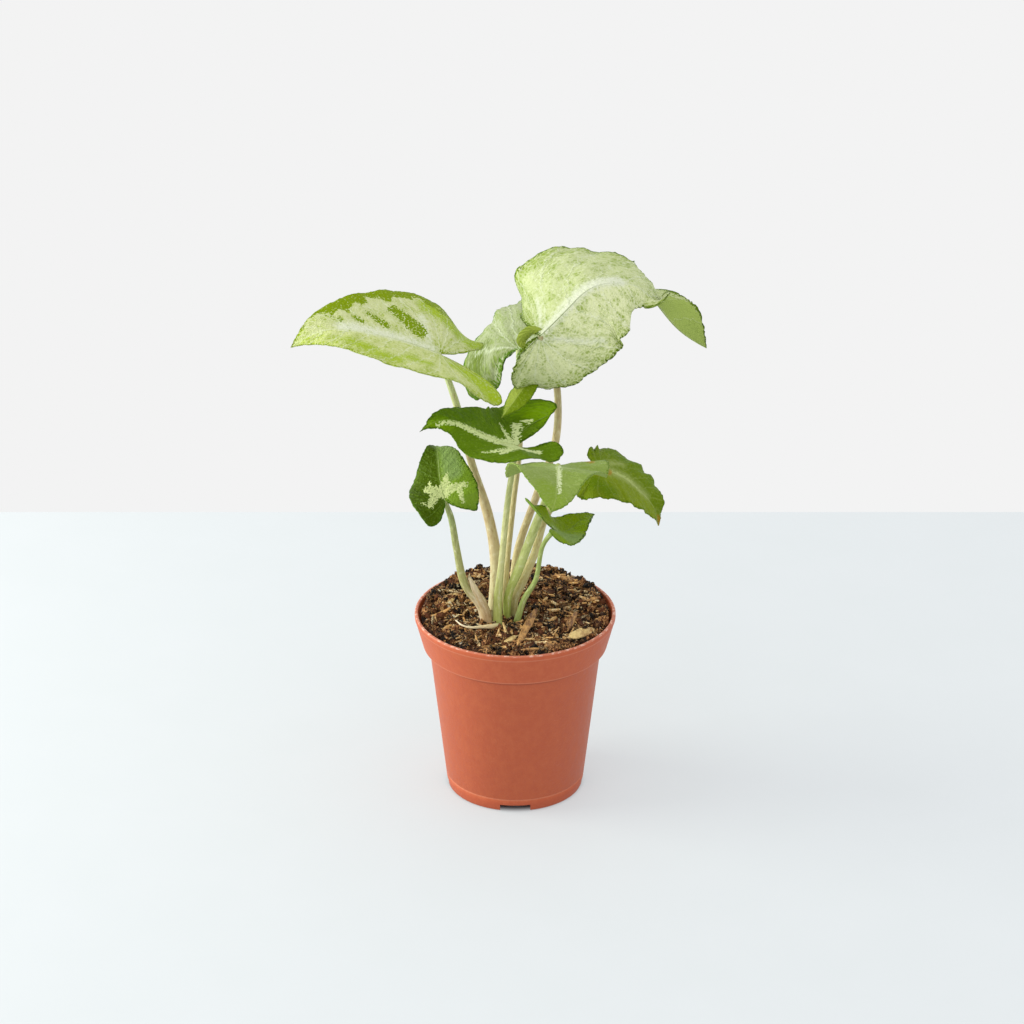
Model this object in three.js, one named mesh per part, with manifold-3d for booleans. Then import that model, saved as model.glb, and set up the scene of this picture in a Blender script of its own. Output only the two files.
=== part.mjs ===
// A young arrowhead plant (Syngonium) growing in a small round nursery pot.
// Millimetres, +Z up. Everything is laid out from the pot's axis, with z = 0 where the
// feet stand; the whole group is then moved so that its bounding box is centred on Z.
import * as THREE from 'three';
import { mergeVertices } from 'three/addons/utils/BufferGeometryUtils.js';
import Module from 'manifold-3d';

// ---------------------------------------------------------------- driving dimensions
const GAP = 0.3; // clearance between pieces that touch on the real plant
const BLADE = 0.7; // thickness of a leaf blade

const POT = {
  height: 57.15,
  rimRadius: 30,
  rimLip: 1, // wall at the rim
  edge: 0.35, // break of the rim's edges
  bandHeight: 10.4, // the flared band under the rim
  bandRadius: 27.6, // at the band's lower edge
  bodyRadius: 25.9, // just under the band
  baseRadius: 20.5,
  wall: 1,
  floor: 3, // underside of the floor
  floorThickness: 1.2,
  footInner: 17.2, // inside of the foot ring
  notches: 4,
  notchWidth: 9.1,
  notchHeight: 2.2,
  drainHoles: 6,
  drainRadius: 2.4,
  drainCircle: 11,
  facets: 48,
};

const SOIL = {
  level: 55.6, // at the front
  rise: 2.9, // more at the back
  riseFrom: -4,
  riseOver: 26,
  lump: 0.3, // height of the low lumps
  lumpPitch: 9,
  facets: 36,
  rings: 6,
};

// The short stem that all the leaf stalks rise from, standing in a round hole.
const CROWN = { at: [-4.3, -1.6], radius: 7.8, top: 54.6, bottom: 38, root: 4 };
const AERIAL_ROOT = {
  radii: [0.6, 0.35],
  path: [
    [-7.6, -7.6, 53.6], [-7.7, -7.8, 55.8], [-8.6, -9.2, 57], [-10.6, -10.4, 57], [-14, -9.8, 56.6],
  ],
};

// A leaf blade is described in its own frame: x runs from the stalk to the tip, y to
// the blade's left, z up through its upper face. A pair is [left half, right half].
//   attach, heading, pitch, roll   where the stalk meets it and how it is turned
//   length, width, lobe, aside     midrib; half widths; reach of the lobes behind the
//                                  stalk and how far aside their ends are
//   belly, tipFull                 place of the widest point; fullness towards the tip
//   lobeSweep, lobeDroop           bend of the two lobes
//   inner                          where a lobe's inner margin runs, as a share of aside
//   sweep, droop, twist            bend of the midrib, at each station after the stalk
//   fold, curl                     how each half rises from the midrib, and how much
//                                  further it bends by its margin, at each station
//   wave                           height of the margin's waves, and how many go round a half
//   neck                           a pinch: [place, depths, spread], in lengths
const STATIONS = [-1, 0, 0.5, 1]; // lobe end, stalk, half length, tip
const LEAVES = {
  left: {
    attach: [-22.2, 3, 139.1], heading: 195, pitch: 27, roll: -19,
    wave: [0.2, 8], length: 46.3, width: [21.2, 21.6], lobe: [17.6, 15.9], aside: [15.2, 16.6],
    belly: [0.1, 0.08], tipFull: [0.22, 0.29], lobeSweep: [2, -8], lobeDroop: [2, 27],
    sweep: [0, -4, -3], droop: [0, 10, 58], twist: [0, 0, -2],
    fold: [[16, 13, 8, 7], [-11, 23, 10, 11]], curl: [[-22, 11, 9, -16], [-24, -35, -4, -19]],
  },
  back: {
    attach: [1, 32, 128.1], heading: 36, pitch: 44, roll: 16,
    wave: [0.45, 8], length: 53.3, width: [21.1, 20.8], lobe: [7.5, 5], aside: [16.9, 9.5],
    belly: [0.11, 0.11], tipFull: [0.28, 0.28], lobeSweep: [36, 0], lobeDroop: [-109, 10],
    sweep: [0, 21, -4], droop: [0, 44, 18], twist: [0, -8, 1],
    fold: [[32, 10, -3, 7], [20, 11, 7, 7]], curl: [[-65, -64, -11, -10], [2, -4, -15, -12]],
  },
  top: {
    attach: [7.2, 4, 144.2], heading: 18, pitch: 40, roll: 43,
    wave: [0.25, 11], length: 67, width: [26.1, 19.5], lobe: [1, 16.9], aside: [14.3, 11.3],
    belly: [0.27, 0.12], tipFull: [0.66, 0.66], lobeSweep: [0, -14], lobeDroop: [0, 0],
    stations: [-1, 0, 0.2, 0.45, 0.6, 0.7, 1],
    sweep: [0, 12, 7, -5, 15, -20], droop: [0, 3, 51, 86, 95, 73], twist: [0, 0, -11, -9, -81, -45],
    fold: [[-37, -37, -19, -18, -22, 69, 63], [-55, -36, -20, -17, -20, 98, 61]],
    curl: [[-25, -25, -12, -11, -14, -17, -9], [-40, -12, -9, -12, -3, 6, 0]],
    neck: [0.62, [0.27, 0.7], 0.12], inner: [0.1, -0.35],
  },
  middle: {
    attach: [0.4, -5, 113.3], heading: 211, pitch: 24, roll: -26,
    wave: [0.3, 6], length: 32.9, width: [13.1, 16.3], lobe: [9.3, 4.6], aside: [7.9, 12.4],
    belly: [0.15, 0.02], tipFull: [0.04, 0.04], lobeSweep: [10, -25], lobeDroop: [83, -13],
    sweep: [0, -28, 8], droop: [0, -9, 48], twist: [0, -6, 1],
    fold: [[19, 27, -7, -8], [44, 3, -4, -9]], curl: [[-10, 9, 9, -22], [19, -13, -4, -16]],
  },
  front: {
    attach: [12.3, -27, 117.1], heading: 266, pitch: 18, roll: -4,
    wave: [0.3, 5], length: 31.6, width: [14.5, 15.4], lobe: [10.7, 11.2], aside: [9.3, 9.7],
    belly: [-0.03, 0.05], tipFull: [0.15, 0.21], lobeSweep: [-2, -1], lobeDroop: [-11, -7],
    sweep: [0, 3, -7], droop: [0, 28, 16], twist: [0, 2, -9],
    fold: [[11, -5, 24, -7], [0, -6, 23, 10]], curl: [[6, -3, -25, -18], [-22, -25, -1, -1]],
  },
  right: {
    attach: [25.6, -8, 107.1], heading: 4, pitch: -20, roll: 21,
    wave: [0.5, 8], length: 25.9, width: [12.5, 12.6], lobe: [6.8, 8.4], aside: [8, 8.3],
    belly: [0.13, 0.11], tipFull: [0.4, 0.34], lobeSweep: [-18, 4], lobeDroop: [0, -12],
    sweep: [0, -6, 6], droop: [0, 26, 60], twist: [0, 1, 4],
    fold: [[-3, 3, 17, 21], [-10, 10, 16, 14]], curl: [[-23, -31, -56, -10], [-34, -9, -4, -17]],
  },
  small: {
    attach: [11.4, -17, 92.1], heading: 44, pitch: -34, roll: 17,
    wave: [0.25, 5], length: 21.1, width: [8.9, 7.5], lobe: [11.1, 7.2], aside: [7.1, 5.8],
    belly: [-0.05, -0.03], tipFull: [0.13, 0.11], lobeSweep: [11, 13], lobeDroop: [37, -17],
    sweep: [0, 14, 15], droop: [0, -43, -16], twist: [0, -14, 0],
    fold: [[8, 21, 5, 9], [6, 4, 20, 12]], curl: [[-17, -10, -5, -10], [-11, -14, -4, -8]],
  },
  low: {
    attach: [-20.4, -13, 99.4], heading: 105, pitch: 21, roll: -1,
    wave: [0.12, 5], length: 25.5, width: [10, 10.4], lobe: [7.7, 4.7], aside: [6.9, 7.2],
    belly: [0.07, 0.14], tipFull: [0.21, 0.27], lobeSweep: [3, 9], lobeDroop: [-39, 13],
    sweep: [0, -8, -4], droop: [0, -19, 55], twist: [0, -13, 11],
    fold: [[19, 6, -10, 21], [0, 22, 10, 6]], curl: [[10, -5, -24, -15], [-44, -15, -10, -11]],
  },
};
// The end of the top blade's near lobe is bent down and forwards; it is one with the blade.
const LOBE_FLAP = {
  attach: [2.8, 8.1, 126.8], heading: 238, pitch: -27, roll: 0,
  wave: [0.1, 4], length: 13, width: [3.8, 3], lobe: [2, 2], aside: [3.4, 2],
  belly: [0.25, 0.25], tipFull: [0.4, 0.3], lobeSweep: [0, 0], lobeDroop: [0, 0],
  sweep: [0, -4, -10], droop: [0, 0, 8], twist: [0, 0, 0],
  fold: [[-8, -10, -14, -10], [10, 5, 0, 0]], curl: [[-10, -12, -14, -10], [0, 0, 0, 0]],
};
// Beside the stalk the top blade's margin is rolled up into a curl; it is one with the blade.
const SINUS_CURL = {
  attach: [7.0, 6.2, 144.9], heading: 178, pitch: 22, roll: 70,
  wave: [0.05, 3], length: 10.5, width: [1.5, 2.3], lobe: [0.5, 0.5], aside: [0.8, 0.8],
  belly: [0.45, 0.45], tipFull: [0.6, 0.6], lobeSweep: [0, 0], lobeDroop: [0, 0],
  sweep: [0, 0, 0], droop: [0, 75, 175], twist: [0, 0, 0],
  fold: [[0, 0, 0, 0], [0, 0, 0, 0]], curl: [[0, 10, 20, 0], [0, 10, 20, 0]],
};
const DETAIL = { large: [16, 9, 5, 5], small: [14, 8, 4, 3] }; // outline steps, steps across
const END_GAP = 0.75; // from a blade's underside to its stalk's flat end
const SLIVER = 0.02; // faces thinner than this, left where solids are cut, are merged away
const SCALLOP = 0.4; // how far the outline swings out and in, as a share of its waves' height
const LARGE_LEAF = 40; // midrib length from which the large detail is used

// A leaf stalk runs from the crown through these places, x, y, z, radius, to its blade.
const STALKS = {
  left: [
    [-6.6, -1.9, 0, 1.8], [-5.7, -0.6, 74, 1.8], [-7.6, 1, 86.7, 1.6],
    [-13, 4.5, 104.5, 1.2], [-17.1, 5.5, 121.8, 1.1],
  ],
  back: [[-4, 1, 0, 1.4], [-2, 8.7, 73, 0.9], [-0.4, 14.5, 87, 0.9], [1.4, 21, 102.3, 0.95]],
  top: [
    [-0.9, 2.9, 0, 1.2], [0.5, 3.6, 74, 1.2], [6.4, 5, 92.9, 1.2],
    [12, 7.5, 109.7, 1.2], [12.4, 11, 124.2, 1.1], [10.4, 8.2, 134.5, 1],
  ],
  middle: [[-5.2, -6.6, 0, 1.6], [-5.1, -6.4, 63.9, 1.35], [-4, -6, 76, 1], [-2.1, -5.5, 96.2, 0.95]],
  front: [
    [-2.6, -3.2, 0, 1.2], [-1.9, -5.3, 65.4, 1.25], [1, -6.5, 74, 1.45],
    [5.5, -6.6, 87, 1.4], [8.4, -7.4, 95.5, 1.15], [10.5, -15, 105.6, 1],
  ],
  right: [
    [-0.5, -1, 0, 1.4], [-0.4, -1.9, 61.7, 1.6], [2.2, -2.4, 68.6, 1.6],
    [5.6, -2.8, 77, 1.25], [9.3, -3.2, 90.3, 1.15], [16.4, -5.2, 101, 1],
  ],
  small: [[0.2, -5, 0, 1.1], [2.6, -7.9, 64.7, 0.9], [6, -10.8, 72.7, 0.75], [8.2, -15, 86.2, 0.7]],
  low: [
    [-8.6, -5, 0, 1.5], [-10, -6.5, 62.3, 1.7], [-14.7, -7.7, 69.5, 1.3],
    [-17.1, -9.9, 82.1, 1.1], [-18.6, -12, 93, 1],
  ],
};
const STALK_END = { large: 1, small: 0.8 }; // radius where a stalk meets its blade
const STALK_SIDES = 8;

// Bits of bark and fibre lying on the soil: place, heading, length, width, thickness.
const CHIPS = {
  bark_chip_long: { at: [3.4, -9.9], heading: 75, size: [26, 2.4, 1.1] },
  bark_chip_pale: { at: [-1.6, -18.2], heading: 55, size: [6.4, 2.2, 0.8] },
  bark_chip_oval: { at: [19.4, -14.3], heading: 35, size: [9, 4.6, 1.2] },
  bark_chip_small: { at: [10.3, -20.9], heading: 40, size: [5, 3, 0.9] },
  bark_chip_slanted: { at: [16.6, -6.6], heading: 72, size: [13, 2.4, 1] },
  bark_chip_right: { at: [21.6, 6.2], heading: 20, size: [8, 2.2, 0.9] },
  bark_chip_back: { at: [15.4, 17.4], heading: 150, size: [8, 2.4, 0.9] },
  bark_chip_left: { at: [-18.6, 7.6], heading: 60, size: [6.5, 2, 0.8] },
  twig: { at: [5.2, -24], heading: 8, size: [7.4, 1.1, 0.8] },
};
const STRAW = { radii: [0.45, 0.3], path: [[-2.4, -15.6, 56.6], [-3, -13.8, 58], [-3.6, -12, 59.3]] };

const COLOURS = {
  pot: 0xc0684a, soil: 0x2e2018, crown: 0xc2ae78,
  blade_left: 0xcfdca8, blade_back: 0xc6d4b0, blade_top: 0xd0dcaa, blade_middle: 0x568224,
  blade_front: 0x7fa35a, blade_right: 0x6e9420, blade_small: 0x5f8c2c, blade_low: 0x547f2a,
  stalk: 0xb4b87a, chip: 0xbe9460, straw: 0xd9be7a,
};

// ---------------------------------------------------------------- solids
const wasm = await Module();
wasm.setup();

function toSolid(geometry) {
  const bare = geometry.clone();
  bare.deleteAttribute('normal');
  bare.deleteAttribute('uv');
  const merged = mergeVertices(bare, 1e-4);
  return new wasm.Manifold(new wasm.Mesh({
    numProp: 3,
    vertProperties: new Float32Array(merged.attributes.position.array),
    triVerts: new Uint32Array(merged.index.array),
  }));
}

function toGeometry(solid) {
  const mesh = solid.getMesh();
  return surface(mesh.vertProperties, mesh.triVerts);
}

function surface(positions, triangles) {
  const geometry = new THREE.BufferGeometry();
  geometry.setAttribute('position', new THREE.BufferAttribute(new Float32Array(positions), 3));
  geometry.setIndex(Array.from(triangles));
  geometry.computeVertexNormals();
  return geometry;
}

function largestPiece(solid) {
  const pieces = solid.decompose();
  return pieces.reduce((best, piece) => (piece.volume() > best.volume() ? piece : best));
}

// A solid of revolution about Z from [radius, height] points.
function turned(points, facets) {
  const profile = points.map(([r, z]) => new THREE.Vector2(r, z));
  return new THREE.LatheGeometry(profile, facets).rotateX(Math.PI / 2);
}

function smooth(t) {
  const s = Math.min(Math.max(t, 0), 1);
  return s * s * (3 - 2 * s);
}

// ---------------------------------------------------------------- pot
const bandFoot = POT.height - POT.bandHeight;
const floorTop = POT.floor + POT.floorThickness;
const rimInner = POT.rimRadius - POT.rimLip;
const innerStep = bandFoot + POT.wall; // where the band's inside meets the body's

// Inner wall of the pot as [height, radius], bottom to top.
const innerWall = [
  [floorTop, POT.baseRadius - POT.wall],
  [bandFoot - POT.wall, POT.bodyRadius - POT.wall],
  [innerStep, POT.bandRadius - POT.wall],
  [POT.height, rimInner],
];

function innerRadius(z) {
  let i = 0;
  while (i < innerWall.length - 2 && z > innerWall[i + 1][0]) i += 1;
  const [z0, r0] = innerWall[i];
  const [z1, r1] = innerWall[i + 1];
  return r0 + ((r1 - r0) * (z - z0)) / (z1 - z0);
}

function makePot() {
  const heel = 0.8;
  const profile = [
    [0, POT.floor], [POT.footInner, POT.floor], [POT.footInner + POT.edge, 0],
    [POT.baseRadius - heel, 0], [POT.baseRadius, heel], [POT.bodyRadius, bandFoot],
    [POT.bandRadius, bandFoot], [POT.rimRadius, POT.height - POT.edge],
    [POT.rimRadius - POT.edge, POT.height], [rimInner + POT.edge, POT.height],
    ...innerWall.slice().reverse().map(([z, r]) => [r, z === POT.height ? z - POT.edge : z]),
    [0, floorTop],
  ];
  let pot = toSolid(turned(profile, POT.facets));
  const notchReach = POT.baseRadius - POT.footInner + 4;
  for (let i = 0; i < POT.notches; i += 1) {
    const angle = -Math.PI / 2 + (2 * Math.PI * i) / POT.notches;
    const notch = new THREE.BoxGeometry(notchReach, POT.notchWidth, 2 * POT.notchHeight)
      .translate((POT.baseRadius + POT.footInner) / 2, 0, 0)
      .rotateZ(angle);
    pot = pot.subtract(toSolid(notch));
  }
  for (let i = 0; i < POT.drainHoles; i += 1) {
    const angle = (2 * Math.PI * i) / POT.drainHoles;
    const hole = new THREE.CylinderGeometry(POT.drainRadius, POT.drainRadius, 4 * floorTop, 16)
      .rotateX(Math.PI / 2)
      .translate(POT.drainCircle * Math.cos(angle), POT.drainCircle * Math.sin(angle), 0);
    pot = pot.subtract(toSolid(hole));
  }
  return toGeometry(pot);
}

// ---------------------------------------------------------------- soil
function soilHeight(x, y) {
  const back = SOIL.rise * smooth((y - SOIL.riseFrom) / SOIL.riseOver);
  const k = (2 * Math.PI) / SOIL.lumpPitch;
  const lumps = Math.sin(k * x + 0.7 * Math.sin(k * 0.6 * y)) * Math.cos(k * 0.8 * y + 1.3);
  return SOIL.level + back + SOIL.lump * lumps;
}

function makeSoil() {
  const n = SOIL.facets;
  const side = GAP + 0.15;
  const topRadius = innerRadius(POT.height) - side;
  const rings = innerWall.slice(0, 3).map(([z, r], i) => {
    const z0 = i === 0 ? z + GAP : z;
    return () => [innerRadius(z0) - side, z0];
  });
  rings.push(() => [innerRadius(SOIL.level - 1) - side, SOIL.level - 1]);
  for (let i = 0; i < SOIL.rings; i += 1) {
    const r = topRadius * (1 - i / SOIL.rings) - (i === 0 ? 0.3 : 0);
    rings.push((x, y) => [r, soilHeight(x * r, y * r)]);
  }
  const positions = [0, 0, floorTop + GAP];
  for (const ring of rings) {
    for (let j = 0; j < n; j += 1) {
      const a = (2 * Math.PI * j) / n;
      const [r, z] = ring(Math.cos(a), Math.sin(a));
      positions.push(r * Math.cos(a), r * Math.sin(a), z);
    }
  }
  positions.push(0, 0, soilHeight(0, 0));
  const last = positions.length / 3 - 1;
  const triangles = [];
  for (let j = 0; j < n; j += 1) {
    const k = (j + 1) % n;
    triangles.push(0, 1 + k, 1 + j);
    for (let i = 0; i < rings.length - 1; i += 1) {
      const low = 1 + i * n;
      const high = low + n;
      triangles.push(low + j, low + k, high + k, low + j, high + k, high + j);
    }
    const inner = 1 + (rings.length - 1) * n;
    triangles.push(inner + j, inner + k, last);
  }
  const deep = 40;
  const hole = new THREE.CylinderGeometry(CROWN.radius + GAP, CROWN.radius + GAP, deep, 32)
    .rotateX(Math.PI / 2)
    .translate(CROWN.at[0], CROWN.at[1], CROWN.bottom - GAP + deep / 2);
  return toGeometry(toSolid(surface(positions, triangles)).subtract(toSolid(hole)));
}

// ---------------------------------------------------------------- round stems
// A tube along a curve whose radius changes with it, closed at both ends.
function tube(points, radii, steps, sides) {
  const curve = new THREE.CatmullRomCurve3(points, false, 'centripetal');
  const frames = curve.computeFrenetFrames(steps, false);
  const positions = [];
  const put = (v) => positions.push(v.x, v.y, v.z);
  put(curve.getPointAt(0));
  for (let i = 0; i <= steps; i += 1) {
    const centre = curve.getPointAt(i / steps);
    const t = curve.getUtoTmapping(i / steps) * (radii.length - 1);
    const k = Math.min(Math.floor(t), radii.length - 2);
    const radius = radii[k] + (radii[k + 1] - radii[k]) * smooth(t - k);
    for (let j = 0; j < sides; j += 1) {
      const a = (2 * Math.PI * j) / sides;
      const out = frames.normals[i].clone().multiplyScalar(Math.cos(a) * radius);
      out.addScaledVector(frames.binormals[i], Math.sin(a) * radius);
      put(centre.clone().add(out));
    }
  }
  put(curve.getPointAt(1));
  const last = positions.length / 3 - 1;
  const triangles = [];
  for (let j = 0; j < sides; j += 1) {
    const k = (j + 1) % sides;
    triangles.push(0, 1 + k, 1 + j);
    for (let i = 0; i < steps; i += 1) {
      const low = 1 + i * sides;
      const high = low + sides;
      triangles.push(low + j, low + k, high + k, low + j, high + k, high + j);
    }
    const end = 1 + steps * sides;
    triangles.push(end + j, end + k, last);
  }
  return surface(positions, triangles);
}

function vectors(path) {
  return path.map(([x, y, z]) => new THREE.Vector3(x, y, z));
}

function taper([start, end], count) {
  return Array.from({ length: count }, (_, i) => start + ((end - start) * i) / (count - 1));
}

function makeCrown() {
  const chamfer = 1;
  const body = turned([
    [0, CROWN.bottom], [CROWN.root, CROWN.bottom], [CROWN.radius - chamfer, CROWN.bottom + 6],
    [CROWN.radius, CROWN.bottom + 10], [CROWN.radius, CROWN.top], [0, CROWN.top],
  ], 24).translate(CROWN.at[0], CROWN.at[1], 0);
  const path = vectors(AERIAL_ROOT.path);
  const root = tube(path, taper(AERIAL_ROOT.radii, path.length), 12, 6);
  return toGeometry(toSolid(body).add(toSolid(root)));
}

// ---------------------------------------------------------------- leaf blades
function between(stations, values, u) {
  let i = 0;
  while (i < stations.length - 2 && u >= stations[i + 1]) i += 1;
  const t = smooth((u - stations[i]) / (stations[i + 1] - stations[i]));
  return values[i] * (1 - t) + values[i + 1] * t;
}

function turn(heading, lift, roll) {
  const rad = THREE.MathUtils.degToRad;
  const euler = new THREE.Euler(rad(roll), rad(lift), rad(heading), 'ZYX');
  return new THREE.Matrix4().makeRotationFromEuler(euler);
}

// The bent centre line of one half of a blade: places and frames along x.
function spine(leaf, half) {
  const stations = leaf.stations ?? STATIONS;
  const reach = leaf.lobe[half] * 1.05;
  const lobeSteps = 8;
  const bladeSteps = 28;
  const xs = [];
  for (let i = 0; i <= lobeSteps; i += 1) xs.push(-reach * (1 - i / lobeSteps));
  for (let i = 1; i <= bladeSteps; i += 1) xs.push((leaf.length * i) / bladeSteps);
  const base = turn(leaf.heading, -leaf.pitch, 0);
  const frames = xs.map((x) => {
    const u = x < 0 ? x / leaf.lobe[half] : x / leaf.length;
    const sweep = between(stations, [leaf.lobeSweep[half], ...leaf.sweep], u);
    const droop = between(stations, [leaf.lobeDroop[half], ...leaf.droop], u);
    const twist = between(stations, [0, ...leaf.twist], u);
    const m = base.clone().multiply(turn(sweep, droop, leaf.roll + twist));
    const axes = [new THREE.Vector3(), new THREE.Vector3(), new THREE.Vector3()];
    m.extractBasis(...axes);
    return axes;
  });
  const places = xs.map(() => new THREE.Vector3(...leaf.attach));
  const step = (from, to) => {
    const ahead = frames[from][0].clone().add(frames[to][0]);
    places[to].copy(places[from]).addScaledVector(ahead, (xs[to] - xs[from]) / 2);
  };
  for (let i = lobeSteps; i < xs.length - 1; i += 1) step(i, i + 1);
  for (let i = lobeSteps; i > 0; i -= 1) step(i, i - 1);
  return { xs, frames, places };
}

// Point of the blade's middle surface at x along and y across one half, lifted off it by lift.
function bladePoint(leaf, line, half, x, y, lift = 0) {
  const { xs, frames, places } = line;
  let i = 0;
  while (i < xs.length - 2 && x > xs[i + 1]) i += 1;
  const t = Math.min(Math.max((x - xs[i]) / (xs[i + 1] - xs[i]), 0), 1);
  const side = frames[i][1].clone().lerp(frames[i + 1][1], t);
  const up = frames[i][2].clone().lerp(frames[i + 1][2], t);
  const u = x < 0 ? x / leaf.lobe[half] : x / leaf.length;
  const stations = leaf.stations ?? STATIONS;
  const fold = THREE.MathUtils.degToRad(between(stations, leaf.fold[half], u));
  let bend = THREE.MathUtils.degToRad(between(stations, leaf.curl[half], u)) / leaf.width[half];
  if (Math.abs(bend) < 1e-5) bend = 1e-5;
  const slope = fold + bend * y;
  const across = (Math.sin(slope) - Math.sin(fold)) / bend - lift * Math.sin(slope);
  const rise = (Math.cos(fold) - Math.cos(slope)) / bend + lift * Math.cos(slope);
  return places[i].clone().lerp(places[i + 1], t)
    .addScaledVector(side, half === 0 ? across : -across)
    .addScaledVector(up, rise);
}

// Flat outline of one half, tip to widest point to lobe end and back to the stalk.
function halfOutline(leaf, half, [tipSteps, sideSteps, lobeSteps]) {
  const L = leaf.length;
  const W = leaf.width[half];
  const B = leaf.lobe[half];
  const a = leaf.aside[half];
  const widest = leaf.belly[half] * L;
  const full = W * leaf.tipFull[half];
  const shoulder = a + 0.7 * (W - a);
  const inner = leaf.inner?.[half] ?? 0.1;
  const curves = [
    [tipSteps, [L, 0], [0.82 * L, full], [widest + 0.36 * L, W], [widest, W]],
    [sideSteps, [widest, W], [widest - 0.26 * L, W], [-B, shoulder], [-B, a]],
    [lobeSteps, [-B, a], [-B, 0.3 * a], [-0.3 * B, inner * a], [0, 0]],
  ];
  const outline = [new THREE.Vector2(L, 0)];
  for (const [steps, ...controls] of curves) {
    const curve = new THREE.CubicBezierCurve(...controls.map(([x, y]) => new THREE.Vector2(x, y)));
    outline.push(...curve.getPoints(steps).slice(1));
  }
  outline.pop(); // the stalk itself
  if (leaf.neck) {
    const [place, depths, spread] = leaf.neck;
    for (const p of outline) {
      p.y *= 1 - depths[half] * Math.exp(-(((p.x / L - place) / spread) ** 2));
    }
  }
  return outline;
}

// How far the margin waves up and down at each point of the outline, fading out at its ends.
function marginWave(leaf, half, outline) {
  const [size, count] = leaf.wave;
  const reach = [0];
  for (let i = 1; i < outline.length; i += 1) {
    reach.push(reach[i - 1] + outline[i].distanceTo(outline[i - 1]));
  }
  return reach.map((r) => {
    const share = r / reach[reach.length - 1];
    const swing = 2 * Math.PI * count * share;
    const fade = smooth(6 * share) * smooth(6 * (1 - share));
    return size * fade * Math.sin(swing + 2 * half + 1.1 * Math.sin(0.37 * swing));
  });
}

// The blade as a plate: rays fan out from the midrib and the stalk to the margin.
function makeBlade(leaf, thickness) {
  const steps = leaf.length > LARGE_LEAF ? DETAIL.large : DETAIL.small;
  const across = steps[3];
  const lines = [spine(leaf, 0), spine(leaf, 1)];
  const outlines = [halfOutline(leaf, 0, steps), halfOutline(leaf, 1, steps)];
  const slant = 0.55; // the rays run forwards from the midrib, like the veins
  const foot = outlines[0].map((p, j) => {
    const q = outlines[1][j];
    return Math.min(Math.max((p.x + q.x) / 2 - (slant * (p.y + q.y)) / 2, 0), leaf.length);
  });
  const points = [];
  const add = (p) => points.push(p) - 1;
  const feet = [];
  foot.forEach((x, j) => {
    feet.push(j > 0 && x === foot[j - 1] ? feet[j - 1] : add(bladePoint(leaf, lines[0], 0, x, 0)));
  });
  const stalkPoint = feet[feet.length - 1];
  const triangles = [];
  const margin = [[], []];
  for (const half of [0, 1]) {
    const wave = marginWave(leaf, half, outlines[half]);
    const ray = (j) => {
      const end = new THREE.Vector2(outlines[half][j].x, outlines[half][j].y + SCALLOP * wave[j]);
      const row = [feet[j]];
      for (let i = 1; i <= across; i += 1) {
        const t = i / across;
        const x = foot[j] + (end.x - foot[j]) * t;
        row.push(add(bladePoint(leaf, lines[half], half, x, end.y * t, wave[j] * t ** 3)));
      }
      return row;
    };
    let before = Array(across + 1).fill(feet[0]);
    const face = (a, b, c) => {
      if (a === b || b === c || c === a) return;
      triangles.push(...(half === 0 ? [a, b, c] : [a, c, b]));
    };
    margin[half].push(feet[0]);
    for (let j = 1; j < outlines[half].length; j += 1) {
      const here = ray(j);
      for (let i = 0; i < across; i += 1) {
        face(before[i], before[i + 1], here[i + 1]);
        face(before[i], here[i + 1], here[i]);
      }
      margin[half].push(here[across]);
      before = here;
    }
    margin[half].push(...before.slice(1, across).reverse());
  }
  const loop = [...margin[0], stalkPoint, ...margin[1].slice(1).reverse()];
  return plate(points, triangles, loop, thickness);
}

// Thickens a sheet to both sides along its normals and closes it round its margin.
function plate(points, triangles, loop, thickness) {
  const normals = points.map(() => new THREE.Vector3());
  for (let i = 0; i < triangles.length; i += 3) {
    const [a, b, c] = [triangles[i], triangles[i + 1], triangles[i + 2]];
    const ab = points[b].clone().sub(points[a]);
    const n = ab.cross(points[c].clone().sub(points[a]));
    for (const k of [a, b, c]) normals[k].add(n);
  }
  const positions = [];
  for (const sign of [0.5, -0.5]) {
    points.forEach((p, i) => {
      const q = p.clone().addScaledVector(normals[i].clone().normalize(), sign * thickness);
      positions.push(q.x, q.y, q.z);
    });
  }
  const n = points.length;
  const faces = [...triangles];
  for (let i = 0; i < triangles.length; i += 3) {
    faces.push(triangles[i] + n, triangles[i + 2] + n, triangles[i + 1] + n);
  }
  for (let i = 0; i < loop.length; i += 1) {
    const a = loop[i];
    const b = loop[(i + 1) % loop.length];
    faces.push(b, a, a + n, b, a + n, b + n);
  }
  return surface(positions, faces);
}

// A blade with what is bent or rolled off its margin, as one solid.
function wholeBlade(name, thickness) {
  const parts = name === 'top' ? [LEAVES.top, LOBE_FLAP, SINUS_CURL] : [LEAVES[name]];
  return parts.map((part) => toSolid(makeBlade(part, thickness))).reduce((a, b) => a.add(b));
}

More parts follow.
